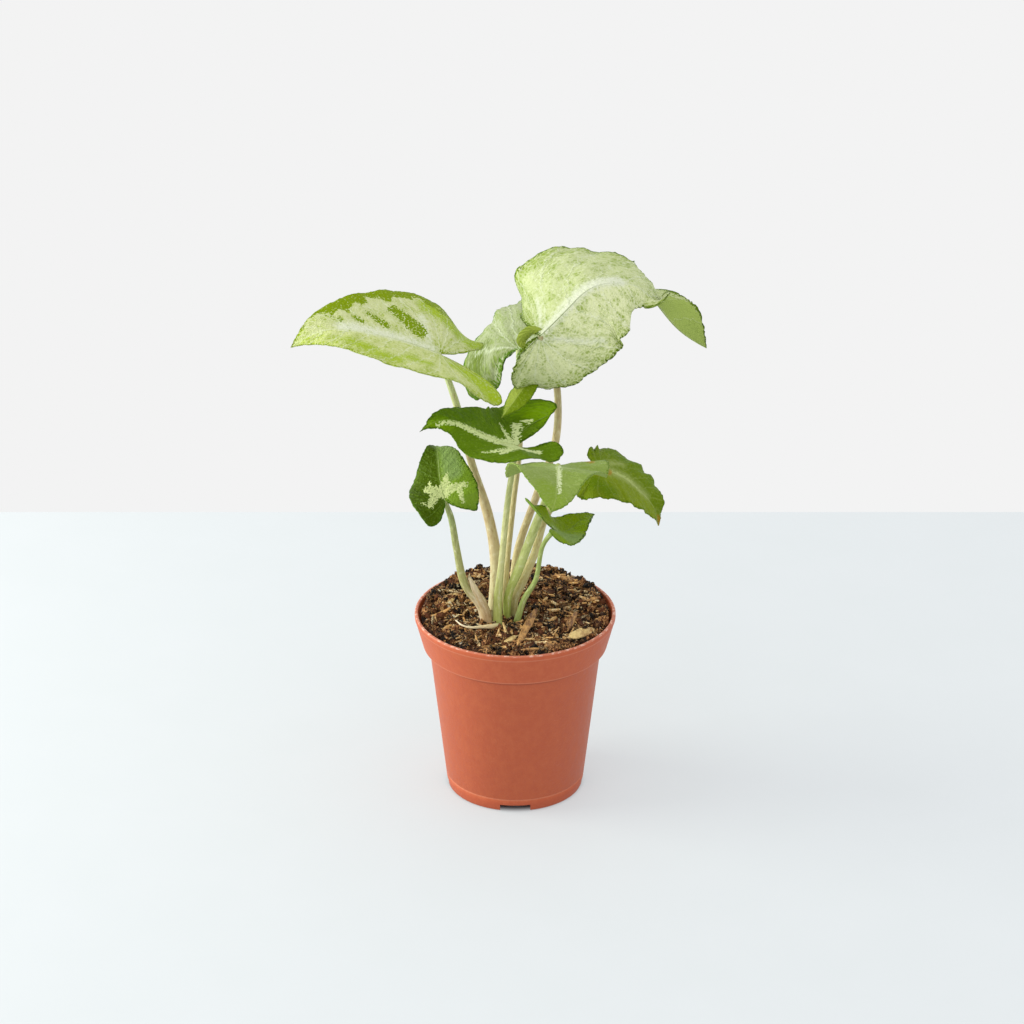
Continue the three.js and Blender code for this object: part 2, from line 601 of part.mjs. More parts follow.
// ---------------------------------------------------------------- leaf stalks
// A stalk ends under its blade, cut off clear of the blade's underside.
function makeStalk(name) {
  const leaf = LEAVES[name];
  const rows = STALKS[name];
  const base = CROWN.top + GAP;
  const path = rows.map(([x, y, z], i) => new THREE.Vector3(x, y, i === 0 ? base - 1 : z));
  path.push(new THREE.Vector3(...leaf.attach));
  const end = leaf.length > LARGE_LEAF ? STALK_END.large : STALK_END.small;
  const radii = [...rows.map((row) => row[3]), end];
  const stalk = toSolid(tube(path, radii, 20, STALK_SIDES));
  const around = wholeBlade(name, BLADE + 2 * GAP);
  let clear = around;
  for (const axis of [0, 1, 2]) {
    for (const shift of [-GAP, GAP]) {
      const by = [0, 0, 0];
      by[axis] = shift;
      clear = clear.add(around.translate(by));
    }
  }
  const { xs, frames } = spine(leaf, 0);
  const up = frames[xs.indexOf(0)][2];
  const flat = path[path.length - 1].dot(up) - BLADE / 2 - END_GAP;
  const cut = stalk.trimByPlane([0, 0, 1], base).subtract(clear)
    .trimByPlane([-up.x, -up.y, -up.z], -flat);
  return toGeometry(largestPiece(cut.simplify(SLIVER)));
}

// ---------------------------------------------------------------- bark chips
// A flat splinter with blunt ends, tilted with the soil and resting just clear of it.
function makeChip({ at, heading, size }) {
  const [length, width, thickness] = size;
  const l = length / 2;
  const w = width / 2;
  const shape = new THREE.Shape();
  shape.moveTo(-l, -0.3 * w);
  shape.quadraticCurveTo(-0.5 * l, -1.1 * w, 0.2 * l, -w);
  shape.lineTo(l, -0.2 * w);
  shape.lineTo(0.92 * l, 0.5 * w);
  shape.quadraticCurveTo(0.3 * l, 1.15 * w, -0.7 * l, 0.8 * w);
  shape.closePath();
  const angle = THREE.MathUtils.degToRad(heading);
  const along = [Math.cos(angle), Math.sin(angle)];
  const groundAt = (s, t) => {
    const x = at[0] + along[0] * s - along[1] * t;
    const y = at[1] + along[1] * s + along[0] * t;
    return soilHeight(x, y);
  };
  const slope = Math.atan2(groundAt(l, 0) - groundAt(-l, 0), length);
  let lift = -Infinity;
  const samples = 16;
  for (let i = 0; i <= samples; i += 1) {
    const s = l * ((2 * i) / samples - 1);
    for (const t of [-w, 0, w]) lift = Math.max(lift, groundAt(s, t) - Math.tan(slope) * s);
  }
  const facetRelief = 0.1; // how far the soil's facets may stand above its height
  const options = { depth: thickness, bevelEnabled: false, curveSegments: 3 };
  return new THREE.ExtrudeGeometry(shape, options)
    .rotateY(-slope)
    .rotateZ(angle)
    .translate(at[0], at[1], lift + GAP + facetRelief);
}

// ---------------------------------------------------------------- scene
const plant = new THREE.Group();

function place(name, geometry, colour, roughness) {
  const material = new THREE.MeshStandardMaterial({ color: colour, roughness, metalness: 0 });
  const mesh = new THREE.Mesh(geometry, material);
  mesh.name = name;
  plant.add(mesh);
}

place('pot', makePot(), COLOURS.pot, 0.6);
place('soil', makeSoil(), COLOURS.soil, 0.95);
place('crown', makeCrown(), COLOURS.crown, 0.6);
for (const name of Object.keys(LEAVES)) {
  place(`blade_${name}`, toGeometry(wholeBlade(name, BLADE)), COLOURS[`blade_${name}`], 0.45);
  place(`petiole_${name}`, makeStalk(name), COLOURS.stalk, 0.5);
}
for (const [name, chip] of Object.entries(CHIPS)) {
  place(name, makeChip(chip), COLOURS.chip, 0.85);
}
const straw = tube(vectors(STRAW.path), taper(STRAW.radii, STRAW.path.length), 3, 6);
place('straw', straw, COLOURS.straw, 0.7);

const box = new THREE.Box3().setFromObject(plant);
const middle = box.getCenter(new THREE.Vector3());
plant.position.set(-middle.x, -middle.y, 0);
plant.updateMatrixWorld(true);

export default plant;
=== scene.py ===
"""Looks of the young arrowhead plant (Syngonium) in its small nursery pot.

Lengths are millimetres and places are measured from the pot's axis, with z = 0 at the
pot's feet, until add_mesh() turns them into the frame's metres.
"""

import math

import bpy
import numpy as np
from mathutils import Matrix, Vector, noise


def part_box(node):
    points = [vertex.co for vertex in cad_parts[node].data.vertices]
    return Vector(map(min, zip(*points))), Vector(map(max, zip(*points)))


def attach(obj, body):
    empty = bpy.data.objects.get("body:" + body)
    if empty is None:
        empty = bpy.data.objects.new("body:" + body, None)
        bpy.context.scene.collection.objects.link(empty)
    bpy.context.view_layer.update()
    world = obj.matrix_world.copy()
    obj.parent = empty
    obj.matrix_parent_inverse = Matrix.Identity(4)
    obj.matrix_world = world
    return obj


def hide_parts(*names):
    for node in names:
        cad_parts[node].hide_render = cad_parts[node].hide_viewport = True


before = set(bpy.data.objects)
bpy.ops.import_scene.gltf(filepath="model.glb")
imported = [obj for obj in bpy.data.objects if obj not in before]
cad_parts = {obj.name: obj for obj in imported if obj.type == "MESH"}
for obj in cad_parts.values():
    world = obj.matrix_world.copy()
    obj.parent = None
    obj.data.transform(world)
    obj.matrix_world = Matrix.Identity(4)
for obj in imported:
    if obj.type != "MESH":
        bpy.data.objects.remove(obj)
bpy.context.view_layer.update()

# ---------------- driving dimensions
MM = 0.001
pot_low, pot_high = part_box("pot")
AXIS = np.array([(pot_low.x + pot_high.x) / 2, (pot_low.y + pot_high.y) / 2, pot_low.z])
RIM_RADIUS = (pot_high.x - pot_low.x) / 2 / MM
POT_HEIGHT = (pot_high.z - pot_low.z) / MM

# The camera, as fitted to the pot's rim and foot. The focal length was chosen, not measured.
FOCAL_PIXELS = 4000.0
PICTURE_PIXELS = 1024
SENSOR_WIDTH = 36.0
CAMERA_REACH = 10.0  # metres
CAMERA_PITCH = math.radians(25.28)
CAMERA_DISTANCE = 1180.0
CAMERA_TARGET = (-0.95, 0.0, 89.74)

# The table, the room and the lamps.
TABLE_EDGE = 190.0  # how far behind the pot the table ends
TABLE_FRONT = -1400.0
TABLE_HALF_WIDTH = 900.0
TABLE_COLOURS, TABLE_LIGHT = ("#8F9496", "#93979A"), "#F2F5F6"
TABLE_SCALE, TABLE_GLOSS, TABLE_ROUGHNESS = 40.0, 0.1, 0.75
# Painted light: the table glows faintly to lighten the shade on it, and the glow stops under the pot, which
# paints shade there.
TABLE_GLOW = 0.48
GLOW_FROM, GLOW_FULL = 17.5, 21.5  # from the pot's axis; nothing glows under the pot
ROOM_COLOUR, ROOM_STRENGTH = (0.97, 0.98, 1.0, 1), 1.1
WALL_COLOUR = "#F3F3F3"
LAMPS = {  # place, aim, size in millimetres, watts, colour
    "key": ((-520, -380, 760), (0, 0, 80), 900, 1.4, (1.0, 0.97, 0.9)),
    "side": ((-620, 40, 220), (0, 0, 50), 380, 4.3, (0.97, 1.0, 0.88)),
}

# The pot's wall, as in the source, and its rounded corners, each a row of steps in radius and
# height from the sharp corner.
BAND_HEIGHT = 10.4
BAND_FOOT = POT_HEIGHT - BAND_HEIGHT
BAND_RADIUS = 27.6
BODY_RADIUS = 25.9
BASE_RADIUS = 20.5
WALL = 1.0
FLOOR = (3.0, 4.2)  # underside and top
FOOT_INNER = 17.2
NOTCHES = 4
NOTCH_SIZE = (9.1, 2.2)  # width and height
NOTCH_REACH = 8.0  # depth of the cut, more than the foot ring is wide
DRAIN_HOLES = 6
DRAIN_RADIUS = 2.4
DRAIN_CIRCLE = 11.0
DRAIN_CUT = 20.0  # length of the cut, more than the floor is thick
FOOT_INSIDE = [(-0.5, FLOOR[0]), (0, FLOOR[0] - 0.3), (0.35, 0.25), (0.6, 0)]
FOOT_OUTSIDE = [(-0.8, 0), (-0.25, 0.2), (0, 0.8), (0.4, 3.75), (0.28, 3.95), (0.28, 4.15), (0.46, 4.35)]
UNDER_BAND = [(-0.15, -0.35), (0.05, -0.1), (0.3, 0)]
BAND_EDGE = [(-0.35, 0), (-0.1, 0.08), (0, 0.35)]
RIM_EDGE = [
    (-0.25, -2.0), (-0.05, -1.5), (0, -0.8), (-0.03, -0.35), (-0.16, -0.1), (-0.4, 0), (-0.75, -0.02),
    (-0.95, -0.15), (-1.0, -0.4),
]
POT_SIDES = 192
DRAIN_SIDES = 40
SHARP_FROM = 40  # degrees between faces, from which an edge of the pot looks sharp

SOIL_LEVEL = 55.6
SOIL_RISE = 2.9  # more at the back
SOIL_RISE_FROM, SOIL_RISE_OVER = -4.0, 26.0  # y where the rise starts, and how long it is
SOIL_GAP = 2.0  # from the rim's radius to the soil's
SOIL_UNDERSIDE = ((26.3, 50.0), (20.0, 8.0))  # radius and height of the rings below the surface
SOIL_SIDES, SOIL_RINGS = 220, 84
CLUMPS, CLUMP_HEIGHT = 0.22, 0.9  # how many for each millimetre, and their height
CRUMBS, CRUMB_HEIGHT = 0.9, 0.6
LOOSE_CRUMBS = (2400, (0.3, 1.45), 11)  # how many, their radii and the seed
LOOSE_SPECKS = (150, (0.3, 0.75), 12)
LOOSE_FIBRES = (560, (2.2, 8.0), (0.3, 1.2), 13)  # how many, lengths, widths and the seed
FIBRE_LEAN, FIBRE_ROLL = 25, 60  # degrees either way
CROWN_TOP = 54.9  # where the stalks start

BLADE = 0.42  # thickness of a leaf blade, less than in the source
BLADE_MARGIN = 0.22  # and at its margin
MARGIN_OVER = 1.5  # how far in from the edge it thins
STATIONS = (-1, 0, 0.5, 1)  # lobe end, stalk, half length, tip
LARGE_LEAF = 40  # midrib length from which a blade has the large detail
OUTLINE_STEPS = {"large": (110, 60, 40), "small": (64, 40, 26)}  # for the outline's three curves
ACROSS_STEPS = {"large": 24, "small": 18, "end": 12}
SCALLOP = 0.4  # how far the outline swings out and in, as a share of its waves' height
LOBE_REACH = 1.05  # how much further than a lobe its bent centre line goes
UNFRAYED = 3  # the margin's first and last millimetres, over which frays and crinkles begin
FRAY_LENGTH, FRAY_LIMIT = 1.1, 0.1  # length of a fray, and how far it may stand out
CRINKLE_LENGTH = 1.8
VEIN_SLANT = 0.55  # how far a vein runs towards the tip for each millimetre across
VEIN_SPACING = 0.15  # of the midrib, between lateral veins
FAN_VEINS = 2.3  # veins for each radian of the fan round the stalk
VEIN_BEND = 0.55  # how far a vein bends towards the tip, in veins
VEIN_BULGE = 0.16  # height of the blade between its veins

# Leaf blades, described as in the source: pairs are (left half, right half).
LEAVES = {
    "left": dict(
        attach=(-22.2, 3, 139.1), heading=195, pitch=27, roll=-19,
        wave=(0.2, 8), length=46.3, width=(21.2, 21.6), lobe=(17.6, 15.9), aside=(15.2, 16.6),
        belly=(0.1, 0.08), tip_full=(0.22, 0.29), lobe_sweep=(2, -8), lobe_droop=(2, 27),
        sweep=(0, -4, -3), droop=(0, 10, 58), twist=(0, 0, -2),
        fold=((16, 13, 8, 7), (-11, 23, 10, 11)), curl=((-22, 11, 9, -16), (-24, -35, -4, -19)),
    ),
    "back": dict(
        attach=(1, 32, 128.1), heading=36, pitch=44, roll=16,
        wave=(0.45, 8), length=53.3, width=(21.1, 20.8), lobe=(7.5, 5), aside=(16.9, 9.5),
        belly=(0.11, 0.11), tip_full=(0.28, 0.28), lobe_sweep=(36, 0), lobe_droop=(-109, 10),
        sweep=(0, 21, -4), droop=(0, 44, 18), twist=(0, -8, 1),
        fold=((32, 10, -3, 7), (20, 11, 7, 7)), curl=((-65, -64, -11, -10), (2, -4, -15, -12)),
    ),
    "top": dict(
        attach=(7.2, 4, 144.2), heading=18, pitch=40, roll=43,
        wave=(0.25, 11), length=67, width=(26.1, 19.5), lobe=(1, 16.9), aside=(14.3, 11.3),
        belly=(0.27, 0.12), tip_full=(0.66, 0.66), lobe_sweep=(0, -14), lobe_droop=(0, 0),
        stations=(-1, 0, 0.2, 0.45, 0.6, 0.7, 1),
        sweep=(0, 12, 7, -5, 15, -20), droop=(0, 3, 51, 86, 95, 73),
        twist=(0, 0, -11, -9, -81, -45),
        fold=((-37, -37, -19, -18, -22, 69, 63), (-55, -36, -20, -17, -20, 98, 61)),
        curl=((-25, -25, -12, -11, -14, -17, -9), (-40, -12, -9, -12, -3, 6, 0)),
        neck=(0.62, (0.27, 0.7), 0.12), inner=(0.1, -0.35),
    ),
    "middle": dict(
        attach=(0.4, -5, 113.3), heading=211, pitch=24, roll=-26,
        wave=(0.3, 6), length=32.9, width=(13.1, 16.3), lobe=(9.3, 4.6), aside=(7.9, 12.4),
        belly=(0.15, 0.02), tip_full=(0.04, 0.04), lobe_sweep=(10, -25), lobe_droop=(83, -13),
        sweep=(0, -28, 8), droop=(0, -9, 48), twist=(0, -6, 1),
        fold=((19, 27, -7, -8), (44, 3, -4, -9)), curl=((-10, 9, 9, -22), (19, -13, -4, -16)),
    ),
    "front": dict(
        attach=(12.3, -27, 117.1), heading=266, pitch=18, roll=-4,
        wave=(0.3, 5), length=31.6, width=(14.5, 15.4), lobe=(10.7, 11.2), aside=(9.3, 9.7),
        belly=(-0.03, 0.05), tip_full=(0.15, 0.21), lobe_sweep=(-2, -1), lobe_droop=(-11, -7),
        sweep=(0, 3, -7), droop=(0, 28, 16), twist=(0, 2, -9),
        fold=((11, -5, 24, -7), (0, -6, 23, 10)), curl=((6, -3, -25, -18), (-22, -25, -1, -1)),
    ),
    "right": dict(
        attach=(25.6, -8, 107.1), heading=4, pitch=-20, roll=21,
        wave=(0.5, 8), length=25.9, width=(12.5, 12.6), lobe=(6.8, 8.4), aside=(8, 8.3),
        belly=(0.13, 0.11), tip_full=(0.4, 0.34), lobe_sweep=(-18, 4), lobe_droop=(0, -12),
        sweep=(0, -6, 6), droop=(0, 26, 60), twist=(0, 1, 4),
        fold=((-3, 3, 17, 21), (-10, 10, 16, 14)), curl=((-23, -31, -56, -10), (-34, -9, -4, -17)),
    ),
    "small": dict(
        attach=(11.4, -17, 92.1), heading=44, pitch=-34, roll=17,
        wave=(0.25, 5), length=21.1, width=(8.9, 7.5), lobe=(11.1, 7.2), aside=(7.1, 5.8),
        belly=(-0.05, -0.03), tip_full=(0.13, 0.11), lobe_sweep=(11, 13), lobe_droop=(37, -17),
        sweep=(0, 14, 15), droop=(0, -43, -16), twist=(0, -14, 0),
        fold=((8, 21, 5, 9), (6, 4, 20, 12)), curl=((-17, -10, -5, -10), (-11, -14, -4, -8)),
    ),
    "low": dict(
        attach=(-20.4, -13, 99.4), heading=105, pitch=21, roll=-1,
        wave=(0.12, 5), length=25.5, width=(10, 10.4), lobe=(7.7, 4.7), aside=(6.9, 7.2),
        belly=(0.07, 0.14), tip_full=(0.21, 0.27), lobe_sweep=(3, 9), lobe_droop=(-39, 13),
        sweep=(0, -8, -4), droop=(0, -19, 55), twist=(0, -13, 11),
        fold=((19, 6, -10, 21), (0, 22, 10, 6)), curl=((10, -5, -24, -15), (-44, -15, -10, -11)),
    ),
}
LOBE_FLAP = dict(
    attach=(2.8, 8.1, 126.8), heading=238, pitch=-27, roll=0, wave=(0.1, 4),
    length=13, width=(3.8, 3), lobe=(2, 2), aside=(3.4, 2),
    belly=(0.25, 0.25), tip_full=(0.4, 0.3), lobe_sweep=(0, 0), lobe_droop=(0, 0),
    sweep=(0, -4, -10), droop=(0, 0, 8), twist=(0, 0, 0),
    fold=((-8, -10, -14, -10), (10, 5, 0, 0)), curl=((-10, -12, -14, -10), (0, 0, 0, 0)),
)
SINUS_CURL = dict(
    attach=(7.0, 6.2, 144.9), heading=178, pitch=22, roll=70, wave=(0.05, 3),
    length=10.5, width=(1.5, 2.3), lobe=(0.5, 0.5), aside=(0.8, 0.8),
    belly=(0.45, 0.45), tip_full=(0.6, 0.6), lobe_sweep=(0, 0), lobe_droop=(0, 0),
    sweep=(0, 0, 0), droop=(0, 75, 175), twist=(0, 0, 0),
    fold=((0, 0, 0, 0), (0, 0, 0, 0)), curl=((0, 10, 20, 0), (0, 10, 20, 0)),
)

# Leaf stalks from the crown to the blade: x, y, z, radius.
STALKS = {
    "left": [
        (-6.6, -1.9, CROWN_TOP, 1.8), (-5.7, -0.6, 74, 1.8), (-7.6, 1, 86.7, 1.6),
        (-13, 4.5, 104.5, 1.2), (-17.1, 5.5, 121.8, 1.1),
    ],
    "back": [
        (-4, 1, CROWN_TOP, 1.4), (-2, 8.7, 73, 0.9), (-0.4, 14.5, 87, 0.9), (1.4, 21, 102.3, 0.95),
    ],
    "top": [
        (-0.9, 2.9, CROWN_TOP, 1.2), (0.5, 3.6, 74, 1.2), (6.4, 5, 92.9, 1.2),
        (12, 7.5, 109.7, 1.2), (12.4, 11, 124.2, 1.1), (10.4, 8.2, 134.5, 1),
    ],
    "middle": [
        (-5.2, -6.6, CROWN_TOP, 1.6), (-5.1, -6.4, 63.9, 1.35), (-4, -6, 76, 1),
        (-2.1, -5.5, 96.2, 0.95),
    ],
    "front": [
        (-2.6, -3.2, CROWN_TOP, 1.2), (-1.9, -5.3, 65.4, 1.25), (1, -6.5, 74, 1.45),
        (5.5, -6.6, 87, 1.4), (8.4, -7.4, 95.5, 1.15), (10.5, -15, 105.6, 1),
    ],
    "right": [
        (-0.5, -1, CROWN_TOP, 1.4), (-0.4, -1.9, 61.7, 1.6), (2.2, -2.4, 68.6, 1.6),
        (5.6, -2.8, 77, 1.25), (9.3, -3.2, 90.3, 1.15), (16.4, -5.2, 101, 1),
    ],
    "small": [
        (0.2, -5, CROWN_TOP, 1.1), (2.6, -7.9, 64.7, 0.9), (6, -10.8, 72.7, 0.75),
        (8.2, -15, 86.2, 0.7),
    ],
    "low": [
        (-8.6, -5, CROWN_TOP, 1.5), (-10, -6.5, 62.3, 1.7), (-14.7, -7.7, 69.5, 1.3),
        (-17.1, -9.9, 82.1, 1.1), (-18.6, -12, 93, 1),
    ],
}
STALK_END = 0.8  # radius where a stalk meets its blade
STALK_STEPS, STALK_SIDES = 90, 20
STRAW = [(-2.4, -15.6, 56.6, 0.45), (-3, -13.8, 58, 0.4), (-3.6, -12, 59.3, 0.3)]
AERIAL_ROOT = [
    (-4.6, -8.0, 54.6, 0.9), (-5, -9.2, 56.6, 0.9), (-7.2, -10.5, 57.2, 0.75), (-10, -11, 57.3, 0.5),
    (-13.1, -11.2, 57.2, 0.35), (-15.7, -9.9, 57.3, 0.25), (-17.7, -6.8, 57.4, 0.2),
]
SHEATH = [  # dry and papery, beside the foot of the low leaf's stalk
    (-7.6, -6.4, 55.4, 1.3), (-8.7, -6.9, 59.4, 1.6), (-9.7, -7.3, 63.2, 1.45), (-11.8, -8, 68, 1.05),
    (-13.5, -8.6, 72.4, 0.5),
]

# Looks of the blades. Colours are sRGB and lengths are millimetres in the blade's own plane, x from
# the stalk to the tip and y to the left; a pair is for (left half, right half). A stroke is
# (x, y, x, y, radius, radius): "strokes" and "patches" have speckled edges, "glows" (painted sheen)
# and "browned" soft ones. What a look leaves out is as in COMMON_LOOK.
COMMON_LOOK = dict(clouds=0.6, fringe=(2, 2), fringe_share=(0, 0), fill=0.98, rim_width=0.4, strokes=[])
LEAF_GLOSS = 0.04
# Scales of the textures: the higher, the finer.
LEAF_SCALES = dict(wander=0.5, clouds=0.2, grain=0.95, fine=3.2, network=0.8, dots=1.7)
BROWNED = "#94721C"
MIDRIB_BLEND = 0.8  # half the width over which one half's look turns into the other's
# The two body colours are partly painted light and shade: on a folded blade the half that faces the light has
# the lighter one and the half in shade the darker.
LOOKS = {
    "left": dict(
        body=("#BEC684", "#C0C690"), cloud="#8EA222", light="#D6DBC0", rim="#6E7C1C", under="#B3C07C",
        vein="#DCE2C4", vein_width=0.35, vein_share=0.5, groove="#A3AE7C",
        clouds=0.9, fringe=(6.5, 6), fringe_share=(0.14, 0.1), stipple=0.8, crinkled=0.12,
        margin="#768C08", margin_width=(0.3, 3.7), margin_fade=(1, 9, 30, 40),
        fill=0.9, marks="#728A08", strokes=[
            (14.8, -11.2, 7, -5.8, 1.5, 2.6), (22.2, -7.6, 17.2, -4.6, 0.9, 1.3),
            (26.3, -5.2, 24.4, -4.1, 0.7, 0.8), (30.5, -4, 30.2, -3.7, 0.6, 0.6),
        ],
        painted_sheens=[(2, -0.8, 30, -1, 1.2, 1.8), (3, -1, 6, -11, 0.6, 0.8)], glow="#D6DAC2",
        patches=[
            (4, -17, -12, -12.5, 3, 5), (-4, 6, -15, 11, 2.2, 7.5),
            (29, 6, 23, 9.5, 1.5, 2.6), (21, 12, 16, 13, 2.2, 2.4), (12, 10.5, 6, 11, 1.8, 1.6),
        ],
        patch="#94AC0C",
    ),
    "back": dict(
        body=("#9BA47C", "#A1A98A"), cloud="#748A2C", light="#B2B99E", rim="#3A5436", under="#97A862",
        vein="#D4DBC0", vein_width=0.4, vein_share=0.5, groove="#A8B58C",
        clouds=0.85, fringe=(6, 6), fringe_share=(0.1, 0.12), stipple=0.8, crinkled=0.35,
        margin="#5A7A22", margin_width=(1, 1.2),
        marks="#4E6C16", strokes=[(-7, 14, -8, 18, 1, 1.6), (0, 20, -6, 20, 0.6, 1)],
        patches=[(-3, 12, -7.5, 17, 1.6, 4.6), (-3, -8, -5, -10, 1.5, 2.5)], patch="#5A6C1C",
        painted_sheens=[(4, 0, 40, 0, 1.5, 2.5)], glow="#AEB59C",
    ),
    "top": dict(
        body=("#BCC590", "#D2D8A6"), cloud="#7C9322", light="#DDE1CA", rim="#42560E", under="#97A956",
        vein="#DDE2CC", vein_width=0.3, vein_share=0.5, groove="#6E7C48",
        clouds=0.85, fringe=(8, 7), fringe_share=(0.16, 0.12), stipple=0.8, crinkled=0.32,
        margin="#5C7410", margin_width=(0.9, 0.6), rim_width=0.65,
        painted_sheens=[(1, 0.6, 30, 1.4, 1.4, 2.2), (0, 1, 8, 12, 0.6, 0.6),
               (0, -1, 12, -14, 0.3, 0.4)], glow="#D6DAC4",
    ),
    "middle": dict(
        body=("#557208", "#4F6C08"), cloud="#6E8A1E", light="#7F9838", rim="#34500A", under="#7E974A",
        vein="#6C862A", vein_width=0.25, vein_share=0.35, groove="#A6B46C",
        stipple=0.65, crinkled=0.2, margin="#3F5A08", margin_width=(0.35, 0.35),
        marks="#C9D498", strokes=[
            (27, 1.2, 16, 0.5, 0.5, 1.1), (16, 0.5, 4, 0.6, 1.1, 2), (4, 1, 1.5, 0.5, 2.5, 2.7),
            (3.7, -8.4, 2, -1, 0.2, 1.4), (-1.4, -8.4, 0, -0.5, 0.5, 1.2), (-2.4, -9.6, -1.2, -6.5, 0.1, 0.4),
            (11.5, 8.2, 4.4, 4.6, 0.2, 1), (7.5, 7.5, 2.5, 3, 0.6, 1.5), (-3.6, 5.4, 1, 2.5, 1.3, 1.6),
        ],
        patches=[(-4, -12, -6.5, -12, 3, 3), (24, 1.5, 32, 1, 2, 2)], patch="#6C8E00",
    ),
    "front": dict(
        body=("#788C3E", "#7F9248"), cloud="#8E9E5A", light="#A3B274", rim="#55701C", under="#8CA052",
        vein="#98AA62", vein_width=0.25, vein_share=0.3, groove="#A0B06C",
        clouds=0.7, stipple=0.6, crinkled=0.15, margin="#64801C", margin_width=(0.3, 0.3),
        marks="#C2CC9C", strokes=[(1, 0.1, 12, 0.8, 0.6, 0.8), (12, 0.8, 20.7, 1, 0.8, 0.3)],
        painted_sheens=[(4, -6, 4, 6, 2, 2)], glow="#93A468",
        patches=[(20, -3, 30, 0, 4, 6)], patch="#7C9430",
        browned=[(-8, 9, -9.5, 8, 0.8, 1.2)],
    ),
    "right": dict(
        body=("#5C7202", "#6E8010"), cloud="#80902A", light="#8A9A44", rim="#46580A", under="#86984A",
        vein="#8F9C50", vein_width=0.3, vein_share=0.35, groove="#A2AC70",
        stipple=0.5, crinkled=0.3, margin="#587208", margin_width=(0.5, 0.5),
        marks="#A0AE66", strokes=[(0.5, -0.3, 7, 0.6, 0.5, 0.45), (7, 0.6, 13.5, -0.6, 0.45, 0.2)],
        painted_sheens=[(0, 0, 15, 0, 1.9, 1.3), (1, 3, 5, 5, 1, 1)], glow="#929E5C",
        patches=[(3, 9, 16, 7.5, 2, 2), (-3, -6, 3, -10, 2.4, 2.4)], patch="#5A7400",
        browned=[(23.6, -0.5, 26.2, 0.5, 1.3, 2.2), (-1.6, -2.2, 1.6, -0.6, 1.2, 1.2)],
    ),
    "small": dict(
        body=("#7E9604", "#84A008"), cloud="#8C9E3A", light="#8EA64C", rim="#3A520A", under="#6F8A34",
        vein="#6C8630", vein_width=0.2, vein_share=0.3, groove="#7C924A",
        stipple=0.5, crinkled=0.15, margin="#42600A", margin_width=(0.3, 0.3),
        marks="#A9B880", strokes=[(-0.4, 0.6, 1.2, -0.3, 0.4, 0.4)],
        painted_sheens=[(0, -1, 4, -5, 2.4, 2.6)], glow="#8FA668",
    ),
    "low": dict(
        body=("#3C5000", "#728E26"), cloud="#647F22", light="#7E9644", rim="#34500A", under="#84984E",
        vein="#66803C", vein_width=0.2, vein_share=0.35, groove="#8A9A5C",
        stipple=0.6, crinkled=0.12, margin="#40600A", margin_width=(0.35, 0.35),
        marks="#BCC688", strokes=[
            (3.4, 0.2, 5, 3.8, 2.4, 1.6), (5.2, 3.4, 7.3, 3.1, 0.8, 0.4), (4, -0.8, 9.6, -2.3, 2.2, 0.3),
            (3.6, -1, 3.8, -6.4, 2, 1.3), (3.4, -5, -2.2, -4.9, 1, 0.5), (3, 2.2, -1.8, 5, 1.5, 0.9),
            (-1.2, 6.2, -0.5, 7.2, 0.4, 0.3), (2, -0.6, 4, -0.2, 1.4, 2.2),
        ],
        painted_sheens=[(10, -4, 22, -2.5, 3, 2.5)], glow="#7E945A",
    ),
    "lobe": dict(
        body=("#6C8410", "#98A848"), cloud="#8A9C2C", light="#A6B65E", rim="#4E6A10", under="#8A9E3C",
        vein="#8FA240", vein_width=0.2, vein_share=0.3, groove="#98A850",
        clouds=0.5, stipple=0.4, crinkled=0.08, margin="#6A820C", margin_width=(0.5, 0.2),
    ),
    "curl": dict(
        body=("#94A43A", "#9EAE48"), cloud="#A8B65A", light="#B0BE68", rim="#5C7014", under="#A0B04A",
        vein="#A4B24C", vein_width=0.2, vein_share=0.2, groove="#6E7E26",
        clouds=0.5, stipple=0.4, crinkled=0.04, margin="#74861E", margin_width=(0.2, 0.2),
    ),
}

# Looks of the stalks: at the foot, half way up and at the top, and of the streaks.
STALK_COLOURS = {
    "left": ("#C8C094", "#C0AC80", "#B4C082", "#946F44"),
    "back": ("#BEB480", "#B6AA76", "#AEB680", "#8C7044"),
    "top": ("#CABF8C", "#C0AE80", "#9C9466", "#8C7044"),
    "middle": ("#ACB45E", "#C2C288", "#A8B070", "#8A8A4A"),
    "front": ("#A2AE52", "#B4BC74", "#A2B064", "#80883A"),
    "right": ("#B2A870", "#CABE86", "#B0B674", "#937640"),
    "small": ("#9EAE62", "#96A65E", "#8C9E50", "#72843A"),
    "low": ("#D8BE9C", "#A2A264", "#8E9A5E", "#746C3A"),
    "root": ("#BEC07A", "#D8C49A", "#E6DAC0", "#B08C58"),
    "sheath": ("#BC9E76", "#BCA47A", "#DCCCA6", "#8A6A40"),
}
STALK_PALE = "#E4DEBE"
STREAKS, BLOTCHES = (0.0, 9.0, 0.35), (0.0, 2.5, 0.14)  # scales round the stalk and along it
STALK_GLOSS = 0.25

# Of these, the pale line colour and the pale colour at the rim are painted highlights, and the dark colour
# under the band is painted shade.
POT_COLOURS = dict(
    body=("#B1522F", "#B75B37"), foot="#A0482C", flecks="#D08460", shade_under_band="#8A3A24", line="#D08E70",
    rim_glints="#E6B8A4",
)
POT_SCALES = dict(mottle=480.0, grain=1500.0, pebble=700.0)
# Painted shade: a dark line just under the band's overhang.
SHADE_UNDER_BAND_LINE = (BAND_FOOT - 0.75, 0.8)  # height and reach
# Painted highlights: pale lines just above the band's foot, on the lip below the rim and on the heel's bead,
# as height and reach.
PAINTED_HIGHLIGHT_LINES = ((BAND_FOOT + 0.15, 0.45), (POT_HEIGHT - 1.7, 0.3), (4.05, 0.35))
POT_GLOSS = 0.32

